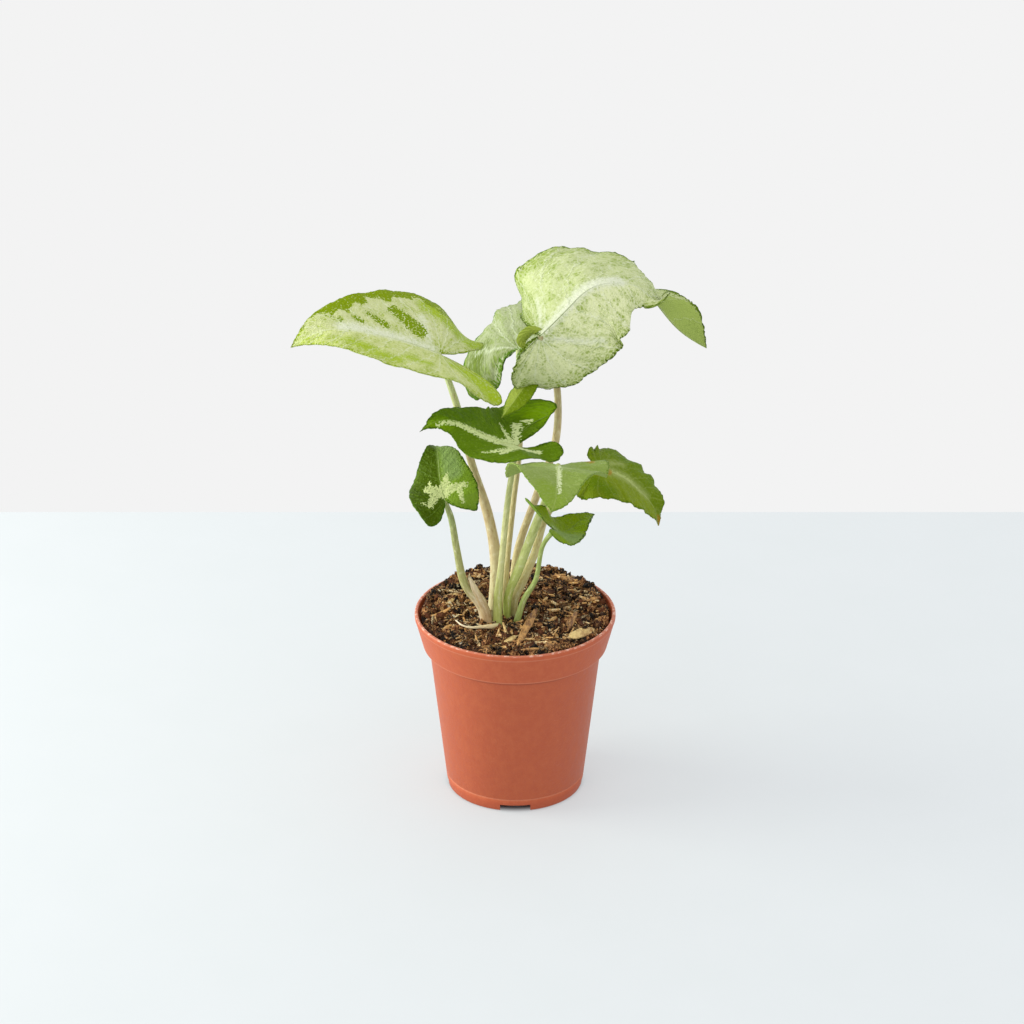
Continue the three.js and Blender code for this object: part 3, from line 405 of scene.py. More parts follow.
# Dark, middle and light colours of the soil and the loose bits, and dark and light ones of the bark.
SOIL_COLOURS = ("#0F0703", "#42220E", "#A87448")
SOIL_SCALES = dict(clumps=220.0, grain=1400.0)
CRUMB_SCALE, CRUMB_GLOSS = 1700.0, 0.25
CRUMB_COLOURS = ("#0B0502", "#5C3117", "#CC9860")
SPECK_COLOURS = ("#C9BC98", "#E4DABC", "#F4F0E2")
FIBRE_COLOURS = ("#3A1F0E", "#CC9A5C", "#F2DDAE")
BARK_COLOURS = ("#6E4422", "#CE9C5E")
PALE_BARK_COLOURS = ("#A98450", "#DDC082")
BARK_SCALES = dict(grain=900.0, patch=260.0)
PALE_CHIPS = ("bark_chip_pale", "bark_chip_oval", "bark_chip_left")
CHIP_ENDS = {"pale": 3.5, "dark": 1.7}  # the higher, the blunter a chip's ends


# ---------------- small helpers
def add(name, data):
    """Puts an object with this mesh, light or camera into the scene."""
    made = bpy.data.objects.new(name, data)
    bpy.context.scene.collection.objects.link(made)
    return made


def add_mesh(name, points, faces, material):
    """Makes a mesh from points in millimetres, in its place in the frame."""
    mesh = bpy.data.meshes.new(name)
    mesh.from_pydata((np.asarray(points) * MM + AXIS).tolist(), [], [tuple(f) for f in faces])
    mesh.materials.append(material)
    return add(name, mesh)


def shape(name, points, faces, material, replaced=(), corners=None, smooth=True):
    """Makes a piece of the object, with values at its corners for the material to read."""
    piece = add_mesh(name, points, faces, material)
    mesh = piece.data
    for key, values in (corners or {}).items():
        layer = mesh.attributes.new(key, "FLOAT_VECTOR", "CORNER")
        layer.data.foreach_set("vector", np.asarray(values, np.float32).ravel())
    mesh.polygons.foreach_set("use_smooth", [smooth] * len(mesh.polygons))
    mesh.update()
    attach(piece, "root")
    if replaced:
        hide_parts(*replaced)
    return piece


def rgb(code):
    """Linear colour of an sRGB code such as #C0684A."""
    parts = [int(code[i:i + 2], 16) / 255 for i in (1, 3, 5)]
    return tuple(((p + 0.055) / 1.055) ** 2.4 if p > 0.04045 else p / 12.92 for p in parts) + (1.0,)


def ease(t):
    """A smooth step from 0 to 1."""
    t = np.clip(t, 0, 1)
    return t * t * (3 - 2 * t)


def circle(radius, z, sides):
    """Points round a circle about the pot's axis."""
    angles = [2 * math.pi * j / sides for j in range(sides)]
    return [(radius * math.cos(a), radius * math.sin(a), z) for a in angles]


def ring_faces(rings, sides):
    """The quads between each ring of points and the next."""
    faces = []
    for i in range(rings):
        for j in range(sides):
            k = (j + 1) % sides
            faces.append((i * sides + j, i * sides + k, (i + 1) * sides + k, (i + 1) * sides + j))
    return faces


def closed_rings(rings, sides):
    """The same with the first and last ring closed."""
    last = [rings * sides + j for j in range(sides)]
    return ring_faces(rings, sides) + [list(range(sides))[::-1], last]


class Shader:
    """A node material, built up by short calls."""

    def __init__(self, name):
        self.material = bpy.data.materials.new(name)
        self.material.use_nodes = True
        self.tree = self.material.node_tree
        self.bsdf = self.tree.nodes["Principled BSDF"]

    def put(self, socket, value):
        """Links another node's output to a socket, or sets its value."""
        if isinstance(value, bpy.types.NodeSocket):
            self.tree.links.new(value, socket)
        else:
            socket.default_value = value

    def node(self, kind, inputs=None, **settings):
        made = self.tree.nodes.new(kind)
        for key, value in settings.items():
            setattr(made, key, value)
        for key, value in (inputs or {}).items():
            self.put(made.inputs[key], value)
        return made

    def math(self, operation, a, b=0.0, clamp=False):
        made = self.node("ShaderNodeMath", {0: a, 1: b}, operation=operation, use_clamp=clamp)
        return made.outputs[0]

    def plus(self, a, b):
        return self.math("ADD", a, b)

    def minus(self, a, b):
        return self.math("SUBTRACT", a, b)

    def times(self, a, b):
        return self.math("MULTIPLY", a, b)

    def swing(self, value, size):
        """A value round 0.5 made to swing about 0, size times as far."""
        return self.times(self.minus(value, 0.5), size)

    def mix(self, share, a, b):
        made = self.node("ShaderNodeMix", data_type="RGBA")
        self.put(made.inputs[0], share)
        self.put(made.inputs[6], rgb(a) if isinstance(a, str) else a)
        self.put(made.inputs[7], rgb(b) if isinstance(b, str) else b)
        return made.outputs[2]

    def blend(self, value, low, high, start=0.0, end=1.0):
        """start below low, end above high, and a smooth step between."""
        made = self.node("ShaderNodeMapRange", interpolation_type="SMOOTHSTEP")
        for key, number in zip(("Value", "From Min", "From Max", "To Min", "To Max"),
                               (value, low, high, start, end)):
            self.put(made.inputs[key], number)
        return made.outputs[0]

    def noise(self, place, scale, detail=3.0, rough=0.55):
        inputs = {"Vector": place, "Scale": scale, "Detail": detail, "Roughness": rough}
        return self.node("ShaderNodeTexNoise", inputs).outputs[0]

    def cell_edges(self, place, scale):
        inputs = {"Vector": place, "Scale": scale}
        return self.node("ShaderNodeTexVoronoi", inputs, feature="DISTANCE_TO_EDGE").outputs[0]

    def place(self):
        return self.node("ShaderNodeTexCoord").outputs["Object"]

    def attribute(self, name):
        return self.node("ShaderNodeAttribute", attribute_name=name).outputs["Vector"]

    def parts(self, vector):
        return self.node("ShaderNodeSeparateXYZ", {0: vector}).outputs

    def vector(self, operation, a, b=(0.0, 0.0, 0.0)):
        made = self.node("ShaderNodeVectorMath", {0: a, 1: b}, operation=operation)
        return made.outputs["Value" if operation in ("LENGTH", "DOT_PRODUCT") else "Vector"]

    def scaled(self, vector, factors):
        return self.vector("MULTIPLY", vector, factors)

    def bump(self, height, distance):
        inputs = {"Height": height, "Distance": distance * MM, "Strength": 1.0}
        return self.node("ShaderNodeBump", inputs).outputs[0]

    def finish(self, colour, roughness, normal=None, **shader):
        """The finished material; shader names more of its inputs, such as Specular_IOR_Level."""
        self.put(self.bsdf.inputs["Base Color"], colour)
        self.put(self.bsdf.inputs["Roughness"], roughness)
        if normal is not None:
            self.put(self.bsdf.inputs["Normal"], normal)
        for key, value in shader.items():
            self.put(self.bsdf.inputs[key.replace("_", " ")], value)
        return self.material


# ---------------- leaf shapes
def between(stations, values, u):
    """Values at the stations, joined by smooth steps."""
    stations, values = np.asarray(stations, float), np.asarray(values, float)
    u = np.clip(np.asarray(u, float), -1, 1)
    i = np.clip(np.searchsorted(stations, u, side="right") - 1, 0, len(stations) - 2)
    t = ease((u - stations[i]) / (stations[i + 1] - stations[i]))
    return values[i] * (1 - t) + values[i + 1] * t


def turn(heading, lift, roll):
    """Rotations about z, then y, then x, in degrees; one matrix for each set of angles."""
    angles = [np.radians(np.atleast_1d(a)) for a in (heading, lift, roll)]
    heading, lift, roll = np.broadcast_arrays(*angles)
    zero, one = np.zeros(heading.shape), np.ones(heading.shape)

    def stack(rows):
        return np.stack([np.stack(row, -1) for row in rows], -2)

    ch, sh, cl, sl, cr, sr = (f(a) for a in (heading, lift, roll) for f in (np.cos, np.sin))
    about_z = stack([(ch, -sh, zero), (sh, ch, zero), (zero, zero, one)])
    about_y = stack([(cl, zero, sl), (zero, one, zero), (-sl, zero, cl)])
    about_x = stack([(one, zero, zero), (zero, cr, -sr), (zero, sr, cr)])
    return about_z @ about_y @ about_x


def spine(leaf, half):
    """The bent centre line of one half of a blade: places and frames along x."""
    length, lobe = leaf["length"], leaf["lobe"][half]
    stations = leaf.get("stations", STATIONS)
    behind, ahead = 24, 90  # steps
    xs = np.linspace(-LOBE_REACH * lobe, 0, behind + 1)
    xs = np.concatenate([xs, np.linspace(0, length, ahead + 1)[1:]])
    u = np.where(xs < 0, xs / lobe, xs / length)
    sweep = between(stations, (leaf["lobe_sweep"][half], *leaf["sweep"]), u)
    droop = between(stations, (leaf["lobe_droop"][half], *leaf["droop"]), u)
    twist = between(stations, (0, *leaf["twist"]), u)
    frames = turn(leaf["heading"], -leaf["pitch"], 0)[0] @ turn(sweep, droop, leaf["roll"] + twist)
    forward = frames[:, :, 0]
    steps = (forward[1:] + forward[:-1]) / 2 * np.diff(xs)[:, None]
    places = np.vstack([np.zeros(3), np.cumsum(steps, 0)])
    places += np.array(leaf["attach"], float) - places[behind]
    return xs, places, frames


def blade_points(leaf, half, x, y, lift):
    """Points at x along and y across one half of a blade, lifted off its middle surface by lift."""
    xs, places, frames = spine(leaf, half)

    def along(values):
        return np.stack([np.interp(x, xs, values[:, i]) for i in range(3)], -1)

    stations = leaf.get("stations", STATIONS)
    u = np.where(x < 0, x / leaf["lobe"][half], x / leaf["length"])
    fold = np.radians(between(stations, leaf["fold"][half], u))
    bend = np.radians(between(stations, leaf["curl"][half], u)) / leaf["width"][half]
    flattest = 1e-5
    bend = np.where(np.abs(bend) < flattest, flattest, bend)
    slope = fold + bend * y
    across = (np.sin(slope) - np.sin(fold)) / bend - lift * np.sin(slope)
    rise = (np.cos(fold) - np.cos(slope)) / bend + lift * np.cos(slope)
    side = -1 if half else 1
    aside = along(frames[:, :, 1]) * (side * across)[..., None]
    return along(places) + aside + along(frames[:, :, 2]) * rise[..., None]


def bezier(controls, count):
    """Points of a cubic curve, without its start."""
    t = np.linspace(0, 1, count + 1)[1:, None]
    a, b, c, d = (np.array(p, float) for p in controls)
    return (1 - t) ** 3 * a + 3 * t * (1 - t) ** 2 * b + 3 * t * t * (1 - t) * c + t ** 3 * d


def half_outline(leaf, half, counts):
    """Flat outline of one half, from the tip by the widest point and the lobe end to the stalk,
    with how far round it each point is."""
    length = leaf["length"]
    width, lobe, aside = (leaf[key][half] for key in ("width", "lobe", "aside"))
    widest = leaf["belly"][half] * length
    shoulder = aside + 0.7 * (width - aside)
    full = width * leaf["tip_full"][half]
    inner = leaf.get("inner", (0.1, 0.1))[half]
    # The curves' control points, as shares of the length, width, lobe and lobe end.
    curves = [
        [(length, 0), (0.82 * length, full), (widest + 0.36 * length, width), (widest, width)],
        [(widest, width), (widest - 0.26 * length, width), (-lobe, shoulder), (-lobe, aside)],
        [(-lobe, aside), (-lobe, 0.3 * aside), (-0.3 * lobe, inner * aside), (0, 0)],
    ]
    outline = np.vstack([[(length, 0)], *[bezier(c, n) for c, n in zip(curves, counts)]])[:-1]
    if "neck" in leaf:
        place, depths, spread = leaf["neck"]
        outline[:, 1] *= 1 - depths[half] * np.exp(-(((outline[:, 0] / length - place) / spread) ** 2))
    reach = np.concatenate([[0], np.cumsum(np.linalg.norm(np.diff(outline, axis=0), axis=1))])
    return outline, reach


def margin_wave(leaf, half, reach):
    """How far the margin waves up and down along it, fading out at the tip and the stalk."""
    size, count = leaf["wave"]
    share = reach / reach[-1]
    swing = 2 * math.pi * count * share
    fade = ease(6 * share) * ease(6 * (1 - share))
    return size * fade * np.sin(swing + 2 * half + 1.1 * np.sin(0.37 * swing))


def ragged(reach, seed, wavelength, size):
    """A wandering value for each place along a margin."""
    roughness, gain, octaves = 0.6, 2.0, 4
    places = [Vector((r / wavelength, seed, 0.3)) for r in reach]
    return np.array([noise.fractal(place, roughness, gain, octaves) * size for place in places])


def blade_sheet(leaf, counts, across, seed, crinkled):
    """The middle surface as points and faces, with what the material reads at each corner.

    Each row of points runs from its foot on the midrib out to the margin, and t is the share of
    the way. Both halves share the feet. phase counts veins, with one at each half, gap is the
    distance between two of them, and edge is the distance to the margin.
    """
    length = leaf["length"]
    outlines, reaches = zip(*[half_outline(leaf, half, counts) for half in (0, 1)])
    rows = len(outlines[0])
    foot = sum(o[:, 0] - VEIN_SLANT * o[:, 1] for o in outlines) / 2
    foot = np.clip(foot, 0, length)
    t = np.linspace(0, 1, across + 1)
    points, faces, corners, loops = [], [], [], []
    feet = None
    for half in (0, 1):
        outline = outlines[half].copy()
        reach = reaches[half]
        wave = margin_wave(leaf, half, reach)
        frayed = ease(reach / UNFRAYED) * ease((reach[-1] - reach) / UNFRAYED)
        frill = ragged(reach, seed + half, FRAY_LENGTH, 0.1 + 1.5 * crinkled) - 0.4 * crinkled
        outline[:, 1] += SCALLOP * wave + frayed * np.minimum(frill, FRAY_LIMIT)
        crinkle = frayed * ragged(reach, seed + 20 + half, CRINKLE_LENGTH, crinkled)
        x = foot[:, None] + (outline[:, :1] - foot[:, None]) * t
        y = outline[:, 1:] * t
        place = blade_points(leaf, half, x, y, t ** 3 * wave[:, None] + t ** 8 * crinkle[:, None])
        ray = outline - np.stack([foot, np.zeros(rows)], -1)
        angle = np.unwrap(np.arctan2(ray[:, 1], ray[:, 0]))
        angle[0] = angle[1]
        steps = -np.diff(foot) / (VEIN_SPACING * length)
        steps += np.where(foot[1:] <= 0, np.abs(np.diff(angle)) * FAN_VEINS, 0)
        phase = np.concatenate([[0], np.cumsum(steps)])[:, None] + VEIN_BEND * t ** 2
        flat = np.stack([x, y], -1)
        unit = (ray / (np.hypot(ray[:, 0], ray[:, 1])[:, None] + 1e-6))[:, None, :]
        shift = np.gradient(flat, axis=0)
        sideways = np.abs(shift[..., 0] * unit[..., 1] - shift[..., 1] * unit[..., 0])
        gap = sideways / np.maximum(np.abs(np.gradient(phase, axis=0)), 1e-4)
        spread = flat[:, :, None, :] - outline[None, None, ::2, :]
        edge = np.hypot(spread[..., 0], spread[..., 1]).min(-1)
        bulge = VEIN_BULGE * np.cos(2 * math.pi * phase) * np.sin(math.pi * t) * np.clip(gap / 4, 0, 1)

        # Rows that start at the stalk have one foot, and the tip is one point.
        index = np.arange(rows * (across + 1)).reshape(rows, -1) + len(points)
        points.extend(place.reshape(-1, 3))
        if feet is None:
            feet = index[:, 0]
            on_stalk = np.nonzero(foot <= 0)[0]
            feet[on_stalk] = feet[on_stalk[0]]
        index[:, 0] = feet
        index[0, :] = feet[0]
        side = -1.0 if half else 1.0
        data = np.stack([phase, gap, edge, x, side * y, bulge], -1)
        for j in range(rows - 1):
            for i in range(across):
                quad = [(j, i), (j, i + 1), (j + 1, i + 1), (j + 1, i)]
                ids = [index[q] for q in quad]
                keep = [k for k in range(4) if ids[k] != ids[k - 1]]
                if len(keep) < 3:
                    continue
                if half:
                    keep = keep[::-1]
                faces.append([ids[k] for k in keep])
                corners.append([data[quad[k]] for k in keep])
        loops.append([*index[:, -1], *index[-1, ::-1][1:-1]])
    # Out along one half's margin and back along the other's.
    rim = loops[0] + [feet[-1]] + loops[1][1:][::-1]
    return np.array(points), faces, corners, rim


def blade_solid(leaf, counts, across, seed, crinkled):
    """Points, faces and corner values of a closed blade, thinner at its margin.

    The first values are phase, gap and edge. The second are x, y and 0 above, 1 below or 0.5 on
    the margin.
    """
    points, faces, corners, rim = blade_sheet(leaf, counts, across, seed, crinkled)
    normals = np.zeros_like(points)
    lift = np.zeros(len(points))
    edge = np.zeros(len(points))
    for face, values in zip(faces, corners):
        a, b, c = points[face[0]], points[face[1]], points[face[2]]
        n = np.cross(b - a, c - a)
        if len(face) == 4:
            n = n + np.cross(c - a, points[face[3]] - a)
        for k, v in zip(face, values):
            normals[k] += n
            lift[k], edge[k] = v[5], v[2]
    normals /= np.linalg.norm(normals, axis=1)[:, None] + 1e-12
    middle = points + normals * lift[:, None]
    half_thick = (BLADE_MARGIN + (BLADE - BLADE_MARGIN) * ease(edge / MARGIN_OVER))[:, None] / 2
    count = len(points)
    both = np.vstack([middle + normals * half_thick, middle - normals * half_thick])
    out_faces, first, second = [], [], []

    def add_face(face, values, under):
        out_faces.append(face)
        first.extend([v[:3] for v in values])
        second.extend([(v[3], v[4], under) for v in values])

    for face, values in zip(faces, corners):
        add_face(face, values, 0.0)
        add_face([k + count for k in face[::-1]], values[::-1], 1.0)
    margin_value = {k: v for face, values in zip(faces, corners) for k, v in zip(face, values)}
    for a, b in zip(rim, rim[1:] + rim[:1]):
        if a != b:
            va, vb = margin_value[a], margin_value[b]
            add_face([b, a, a + count, b + count], [vb, va, va, vb], 0.5)
    return both, out_faces, first, second


# ---------------- leaf material
def stroke(s, place, x0, y0, x1, y1, r0, r1):
    """How far outside a tapered stroke a point of the blade lies."""
    span = (x1 - x0, y1 - y0, 0.0)
    size = span[0] ** 2 + span[1] ** 2
    offset = s.vector("SUBTRACT", place, (x0, y0, 0.0))
    along = s.math("DIVIDE", s.vector("DOT_PRODUCT", offset, span), size, clamp=True)
    nearest = s.node("ShaderNodeVectorMath", {0: span, 3: along}, operation="SCALE").outputs[0]
    away = s.vector("LENGTH", s.vector("SUBTRACT", offset, nearest))
    return s.minus(away, s.plus(s.times(along, r1 - r0), r0))


def speckled(s, outside, dots, spread, fill=COMMON_LOOK["fill"]):
    """1 well inside an edge and 0 well outside it, breaking up into dots between."""
    cover = s.blend(outside, spread, -spread, -0.1, fill)
    return s.blend(s.minus(cover, dots), -0.07, 0.07)


def outside_of(s, place, strokes):
    """How far outside the nearest of the strokes a point of the blade lies."""
    nearest = None
    for values in strokes:
        away = stroke(s, place, *values)
        nearest = away if nearest is None else s.math("MINIMUM", nearest, away)
    return nearest


def leaf_material(name):
    """A blade's look, with its veins, clouded colours, margin and markings."""
    look = {**COMMON_LOOK, **LOOKS[name]}
    stipple = look["stipple"]
    scales = LEAF_SCALES
    s = Shader(f"leaf_{name}")
    phase, gap, edge = s.parts(s.attribute("leaf"))
    flat = s.attribute("flat")
    x, y, under = s.parts(flat)
    plane = s.scaled(flat, (1.0, 1.0, 0.0))
    to_midrib = s.math("ABSOLUTE", y)
    wander = s.swing(s.noise(plane, scales["wander"], 2.0, 0.5), 0.45)
    vein_place = s.math("FRACT", s.plus(phase, wander))
    to_vein = s.times(s.math("ABSOLUTE", s.minus(vein_place, 0.5)), gap)
    near = s.math("MINIMUM", to_vein, to_midrib)

    def by_half(pair):
        return s.blend(y, -MIDRIB_BLEND, MIDRIB_BLEND, pair[1], pair[0])

    clouds = s.noise(plane, scales["clouds"], 3.0, 0.6)
    grain = s.noise(plane, scales["grain"], 4.0, 0.7)
    fine = s.noise(plane, scales["fine"], 2.0, 0.6)
    network = s.cell_edges(plane, scales["network"])
    stretched = {0: s.times(phase, 5.0), 1: s.times(to_midrib, 0.22)}
    across_veins = s.node("ShaderNodeCombineXYZ", stretched).outputs[0]
    streaks = s.noise(across_veins, 1.0, 3.0, 0.65)
    dots = s.blend(s.noise(plane, scales["dots"], 1.0, 0.5), 0.34, 0.66)
    jagged = s.swing(grain, 3.2)

    mottle = s.plus(s.times(clouds, 0.6), s.times(streaks, 0.4))
    reach = s.math("DIVIDE", edge, by_half(look["fringe"]))
    fringe = s.times(s.blend(reach, 1.0, 0.0), by_half(look["fringe_share"]))
    mottle = s.plus(mottle, fringe)
    mottle = s.plus(mottle, s.swing(dots, 0.09 * stipple))
    tint = s.times(s.blend(mottle, 0.47, 0.63), s.blend(network, 0.0, 0.25, 0.35, 1.0))
    # painted light and shade: each half of the blade has its own body colour
    body = s.mix(by_half((1.0, 0.0)), look["body"][1], look["body"][0])
    colour = s.mix(s.times(tint, look["clouds"]), body, look["cloud"])
    # painted sheen: soft paler strokes where the blade catches the light
    if "painted_sheens" in look:
        soft = s.blend(s.plus(outside_of(s, plane, look["painted_sheens"]), jagged), 1.6, -1.6, 0.0, 0.8)
        colour = s.mix(soft, colour, look["glow"])
    if "patches" in look:
        outside = s.plus(outside_of(s, plane, look["patches"]), jagged)
        soft = s.plus(speckled(s, outside, dots, 2.2), s.blend(outside, 2.0, -2.0))
        colour = s.mix(s.times(soft, 0.46), colour, look["patch"])
    colour = s.mix(s.blend(grain, 0.52, 0.72, 0.0, 0.5), colour, look["cloud"])
    colour = s.mix(s.blend(grain, 0.48, 0.28, 0.0, 0.5), colour, look["light"])
    faint = s.blend(fine, 0.35, 0.65, 0.35, 1.0)
    vein = s.times(s.blend(near, look["vein_width"], 0.05, 0.0, look["vein_share"]), faint)
    colour = s.mix(vein, colour, look["vein"])
    width = s.times(by_half(look["margin_width"]), s.blend(clouds, 0.35, 0.65, 0.45, 1.4))
    if "margin_fade" in look:
        start, full, still, end = look["margin_fade"]
        shoulder = s.times(s.blend(x, start - 14.0, start - 8.0), s.blend(to_midrib, 9.0, 13.0))
        width = s.times(width, s.math("MAXIMUM", s.blend(x, start, full, 0.15, 1.0), shoulder))
        width = s.times(width, s.blend(x, still, end, 1.0, 0.15))
    past = s.minus(s.plus(edge, s.times(jagged, stipple)), width)
    colour = s.mix(speckled(s, past, dots, 0.9 * stipple), colour, look["margin"])
    colour = s.mix(s.blend(edge, look["rim_width"], 0.12, 0.0, 0.85), colour, look["rim"])
    if look["strokes"]:
        rough = s.times(jagged, 0.8 * stipple)
        outside = s.plus(outside_of(s, plane, look["strokes"]), rough)
        colour = s.mix(speckled(s, outside, dots, stipple, look["fill"]), colour, look["marks"])
    # Along the midrib: where the groove colour is darker than the blade, as on the top and left blades, it is
    # painted shade in the midrib's crease; where it is paler, it is the midrib's own colour.
    groove = s.times(s.blend(to_midrib, 0.2, 0.08), s.blend(x, 30.0, 6.0, 0.15, 0.85))
    colour = s.mix(groove, colour, look["groove"])
    if "browned" in look:
        outside = s.plus(outside_of(s, plane, look["browned"]), jagged)
        colour = s.mix(s.blend(outside, 0.6, -0.6, 0.0, 0.8), colour, BROWNED)
    below = s.blend(under, 0.4, 0.6)
    underside = s.mix(s.blend(near, 0.4, 0.1, 0.0, 0.12), look["under"], look["vein"])
    underside = s.mix(s.blend(grain, 0.45, 0.7, 0.0, 0.15), underside, look["cloud"])
    colour = s.mix(below, colour, underside)

    relief = s.plus(s.blend(near, 0.9, 0.0, 0.0, 0.6), s.blend(network, 0.25, 0.0, 0.0, 0.4))
    normal = s.bump(s.plus(relief, s.times(grain, 0.6)), 0.2)
    roughness = s.blend(grain, 0.3, 0.7, 0.38, 0.55)
    return s.finish(colour, roughness, normal, Specular_IOR_Level=LEAF_GLOSS)


# ---------------- stalks
def smooth_path(rows, count):
    """Centripetal Catmull-Rom curve through rows of x, y, z, radius, sampled evenly by length."""
    rows = np.array(rows, float)
    xyz = np.vstack([2 * rows[0, :3] - rows[1, :3], rows[:, :3], 2 * rows[-1, :3] - rows[-2, :3]])
    t = np.linspace(0, 1, 25)[:, None]
    fine = []
    for i in range(len(rows) - 1):
        p0, p1, p2, p3 = xyz[i:i + 4]
        spans = (p1 - p0, p2 - p1, p3 - p2)
        d0, d1, d2 = (max(np.linalg.norm(span), 1e-4) ** 0.5 for span in spans)
        m1 = ((p1 - p0) / d0 - (p2 - p0) / (d0 + d1) + (p2 - p1) / d1) * d1
        m2 = ((p2 - p1) / d1 - (p3 - p1) / (d1 + d2) + (p3 - p2) / d2) * d1
        place = (2 * t ** 3 - 3 * t ** 2 + 1) * p1 + (t ** 3 - 2 * t ** 2 + t) * m1
        place = place + (3 * t ** 2 - 2 * t ** 3) * p2 + (t ** 3 - t ** 2) * m2
        radius = rows[i, 3] + (rows[i + 1, 3] - rows[i, 3]) * ease(t)
        fine.append(np.hstack([place, radius])[:-1])
    fine = np.vstack([*fine, rows[-1]])
    steps = np.linalg.norm(np.diff(fine[:, :3], axis=0), axis=1)
    length = np.concatenate([[0], np.cumsum(steps)])
    even = np.linspace(0, length[-1], count + 1)
    return np.stack([np.interp(even, length, fine[:, k]) for k in range(4)], -1), length[-1]


def tube(rows, count, sides, section=None):
    """A closed tube round a smooth path, with (along, angle share, length) at each corner."""
    path, length = smooth_path(rows, count)
    centre, radius = path[:, :3], path[:, 3]
    ahead = np.gradient(centre, axis=0)
    ahead /= np.linalg.norm(ahead, axis=1)[:, None]
    side = np.cross(ahead[0], (0.0, 1.0, 0.0))
    points = []
    for i in range(count + 1):
        side = side - ahead[i] * side.dot(ahead[i])
        side /= np.linalg.norm(side)
        other = np.cross(ahead[i], side)
        for j in range(sides):
            angle = 2 * math.pi * j / sides
            r = radius[i] * (section(i / count, angle) if section else 1.0)
            points.append(centre[i] + r * (math.cos(angle) * side + math.sin(angle) * other))
    values = []
    for i in range(count):
        for j in range(sides):
            quad = [(i, j), (i, j + 1), (i + 1, j + 1), (i + 1, j)]
            values.extend([(a / count, b / sides, a / count * length) for a, b in quad])
    values.extend([(0.0, j / sides, 0.0) for j in range(sides)][::-1])
    values.extend([(1.0, j / sides, length) for j in range(sides)])
    return np.array(points), closed_rings(count, sides), values


def stalk_section(along, angle):
    """A shallow channel on the upper side and a sheath's two low wings by the foot."""
    depth, wing_angles, wings_end = 0.1, (2.3, 4.0), 0.45
    channel = depth * math.exp(-((angle - math.pi) / 0.5) ** 2)
    wings = sum(math.exp(-((angle - wing) / 0.25) ** 2) for wing in wing_angles)
    return 1 - channel + depth * max(0.0, 1 - along / wings_end) * wings


def stalk_material(name):
    """A stalk's look, changing from its foot to its top, with streaks along it."""
    foot, middle, top, streaked = STALK_COLOURS[name]
    s = Shader(f"stalk_{name}")
    place = s.attribute("stem")
    along = s.parts(place)[0]
    streak = s.noise(s.scaled(place, STREAKS), 1.0, 3.0, 0.6)
    blotch = s.noise(s.scaled(place, BLOTCHES), 1.0, 3.0, 0.6)
    wander = s.plus(along, s.swing(blotch, 0.5))
    colour = s.mix(s.blend(wander, 0.02, 0.4), foot, middle)
    colour = s.mix(s.blend(wander, 0.45, 0.95), colour, top)
    colour = s.mix(s.blend(streak, 0.5, 0.72, 0.0, 0.6), colour, streaked)
    colour = s.mix(s.blend(streak, 0.48, 0.3, 0.0, 0.45), colour, STALK_PALE)
    normal = s.bump(streak, 0.12)
    roughness = s.blend(blotch, 0.3, 0.7, 0.38, 0.55)
    return s.finish(colour, roughness, normal, Specular_IOR_Level=STALK_GLOSS)


# ---------------- soil
def soil_height(y):
    """The soil's general level, as in the source, without its lumps."""
    return SOIL_LEVEL + SOIL_RISE * ease((np.asarray(y) - SOIL_RISE_FROM) / SOIL_RISE_OVER)


def crumbly(x, y):
    """Height of the soil's crumbs."""
    big = noise.fractal(Vector((x * CLUMPS, y * CLUMPS, 2.0)), 0.7, 2.1, 3)
    small = noise.fractal(Vector((x * CRUMBS, y * CRUMBS, 7.0)), 0.6, 2.2, 4)
    return CLUMP_HEIGHT * big + CRUMB_HEIGHT * small


def surface_height(x, y):
    """Height of the soil with its crumbs."""
    return float(soil_height(y)) + crumbly(x, y)


def soil_surface():
    """The soil as one solid, from its crumbly top to a floor inside the pot."""
    points = []
    for i in range(SOIL_RINGS + 1):
        radius = (RIM_RADIUS - SOIL_GAP) * (i / SOIL_RINGS) ** 0.9
        points.extend((x, y, surface_height(x, y)) for x, y, _ in circle(radius, 0, SOIL_SIDES))
    for radius, z in SOIL_UNDERSIDE:
        points.extend(circle(radius, z, SOIL_SIDES))
    rings = SOIL_RINGS + len(SOIL_UNDERSIDE)
    faces = [(a, d, c, b) for a, b, c, d in ring_faces(rings, SOIL_SIDES)]
    faces.append([rings * SOIL_SIDES + j for j in range(SOIL_SIDES)][::-1])
    return np.array(points), faces


def soil_material():
    """Dark clumps with lighter grains."""
    hollow, clump, grains = SOIL_COLOURS
    s = Shader("soil")
    place = s.place()
    clumps = s.noise(place, SOIL_SCALES["clumps"], 5.0, 0.65)
    grain = s.noise(place, SOIL_SCALES["grain"], 4.0, 0.7)
    tint = s.mix(s.blend(clumps, 0.35, 0.65), hollow, clump)
    tint = s.mix(s.blend(grain, 0.55, 0.8, 0.0, 0.8), tint, grains)
    normal = s.bump(s.plus(grain, clumps), 0.5)
    return s.finish(tint, s.blend(grain, 0.3, 0.7, 0.75, 0.98), normal)


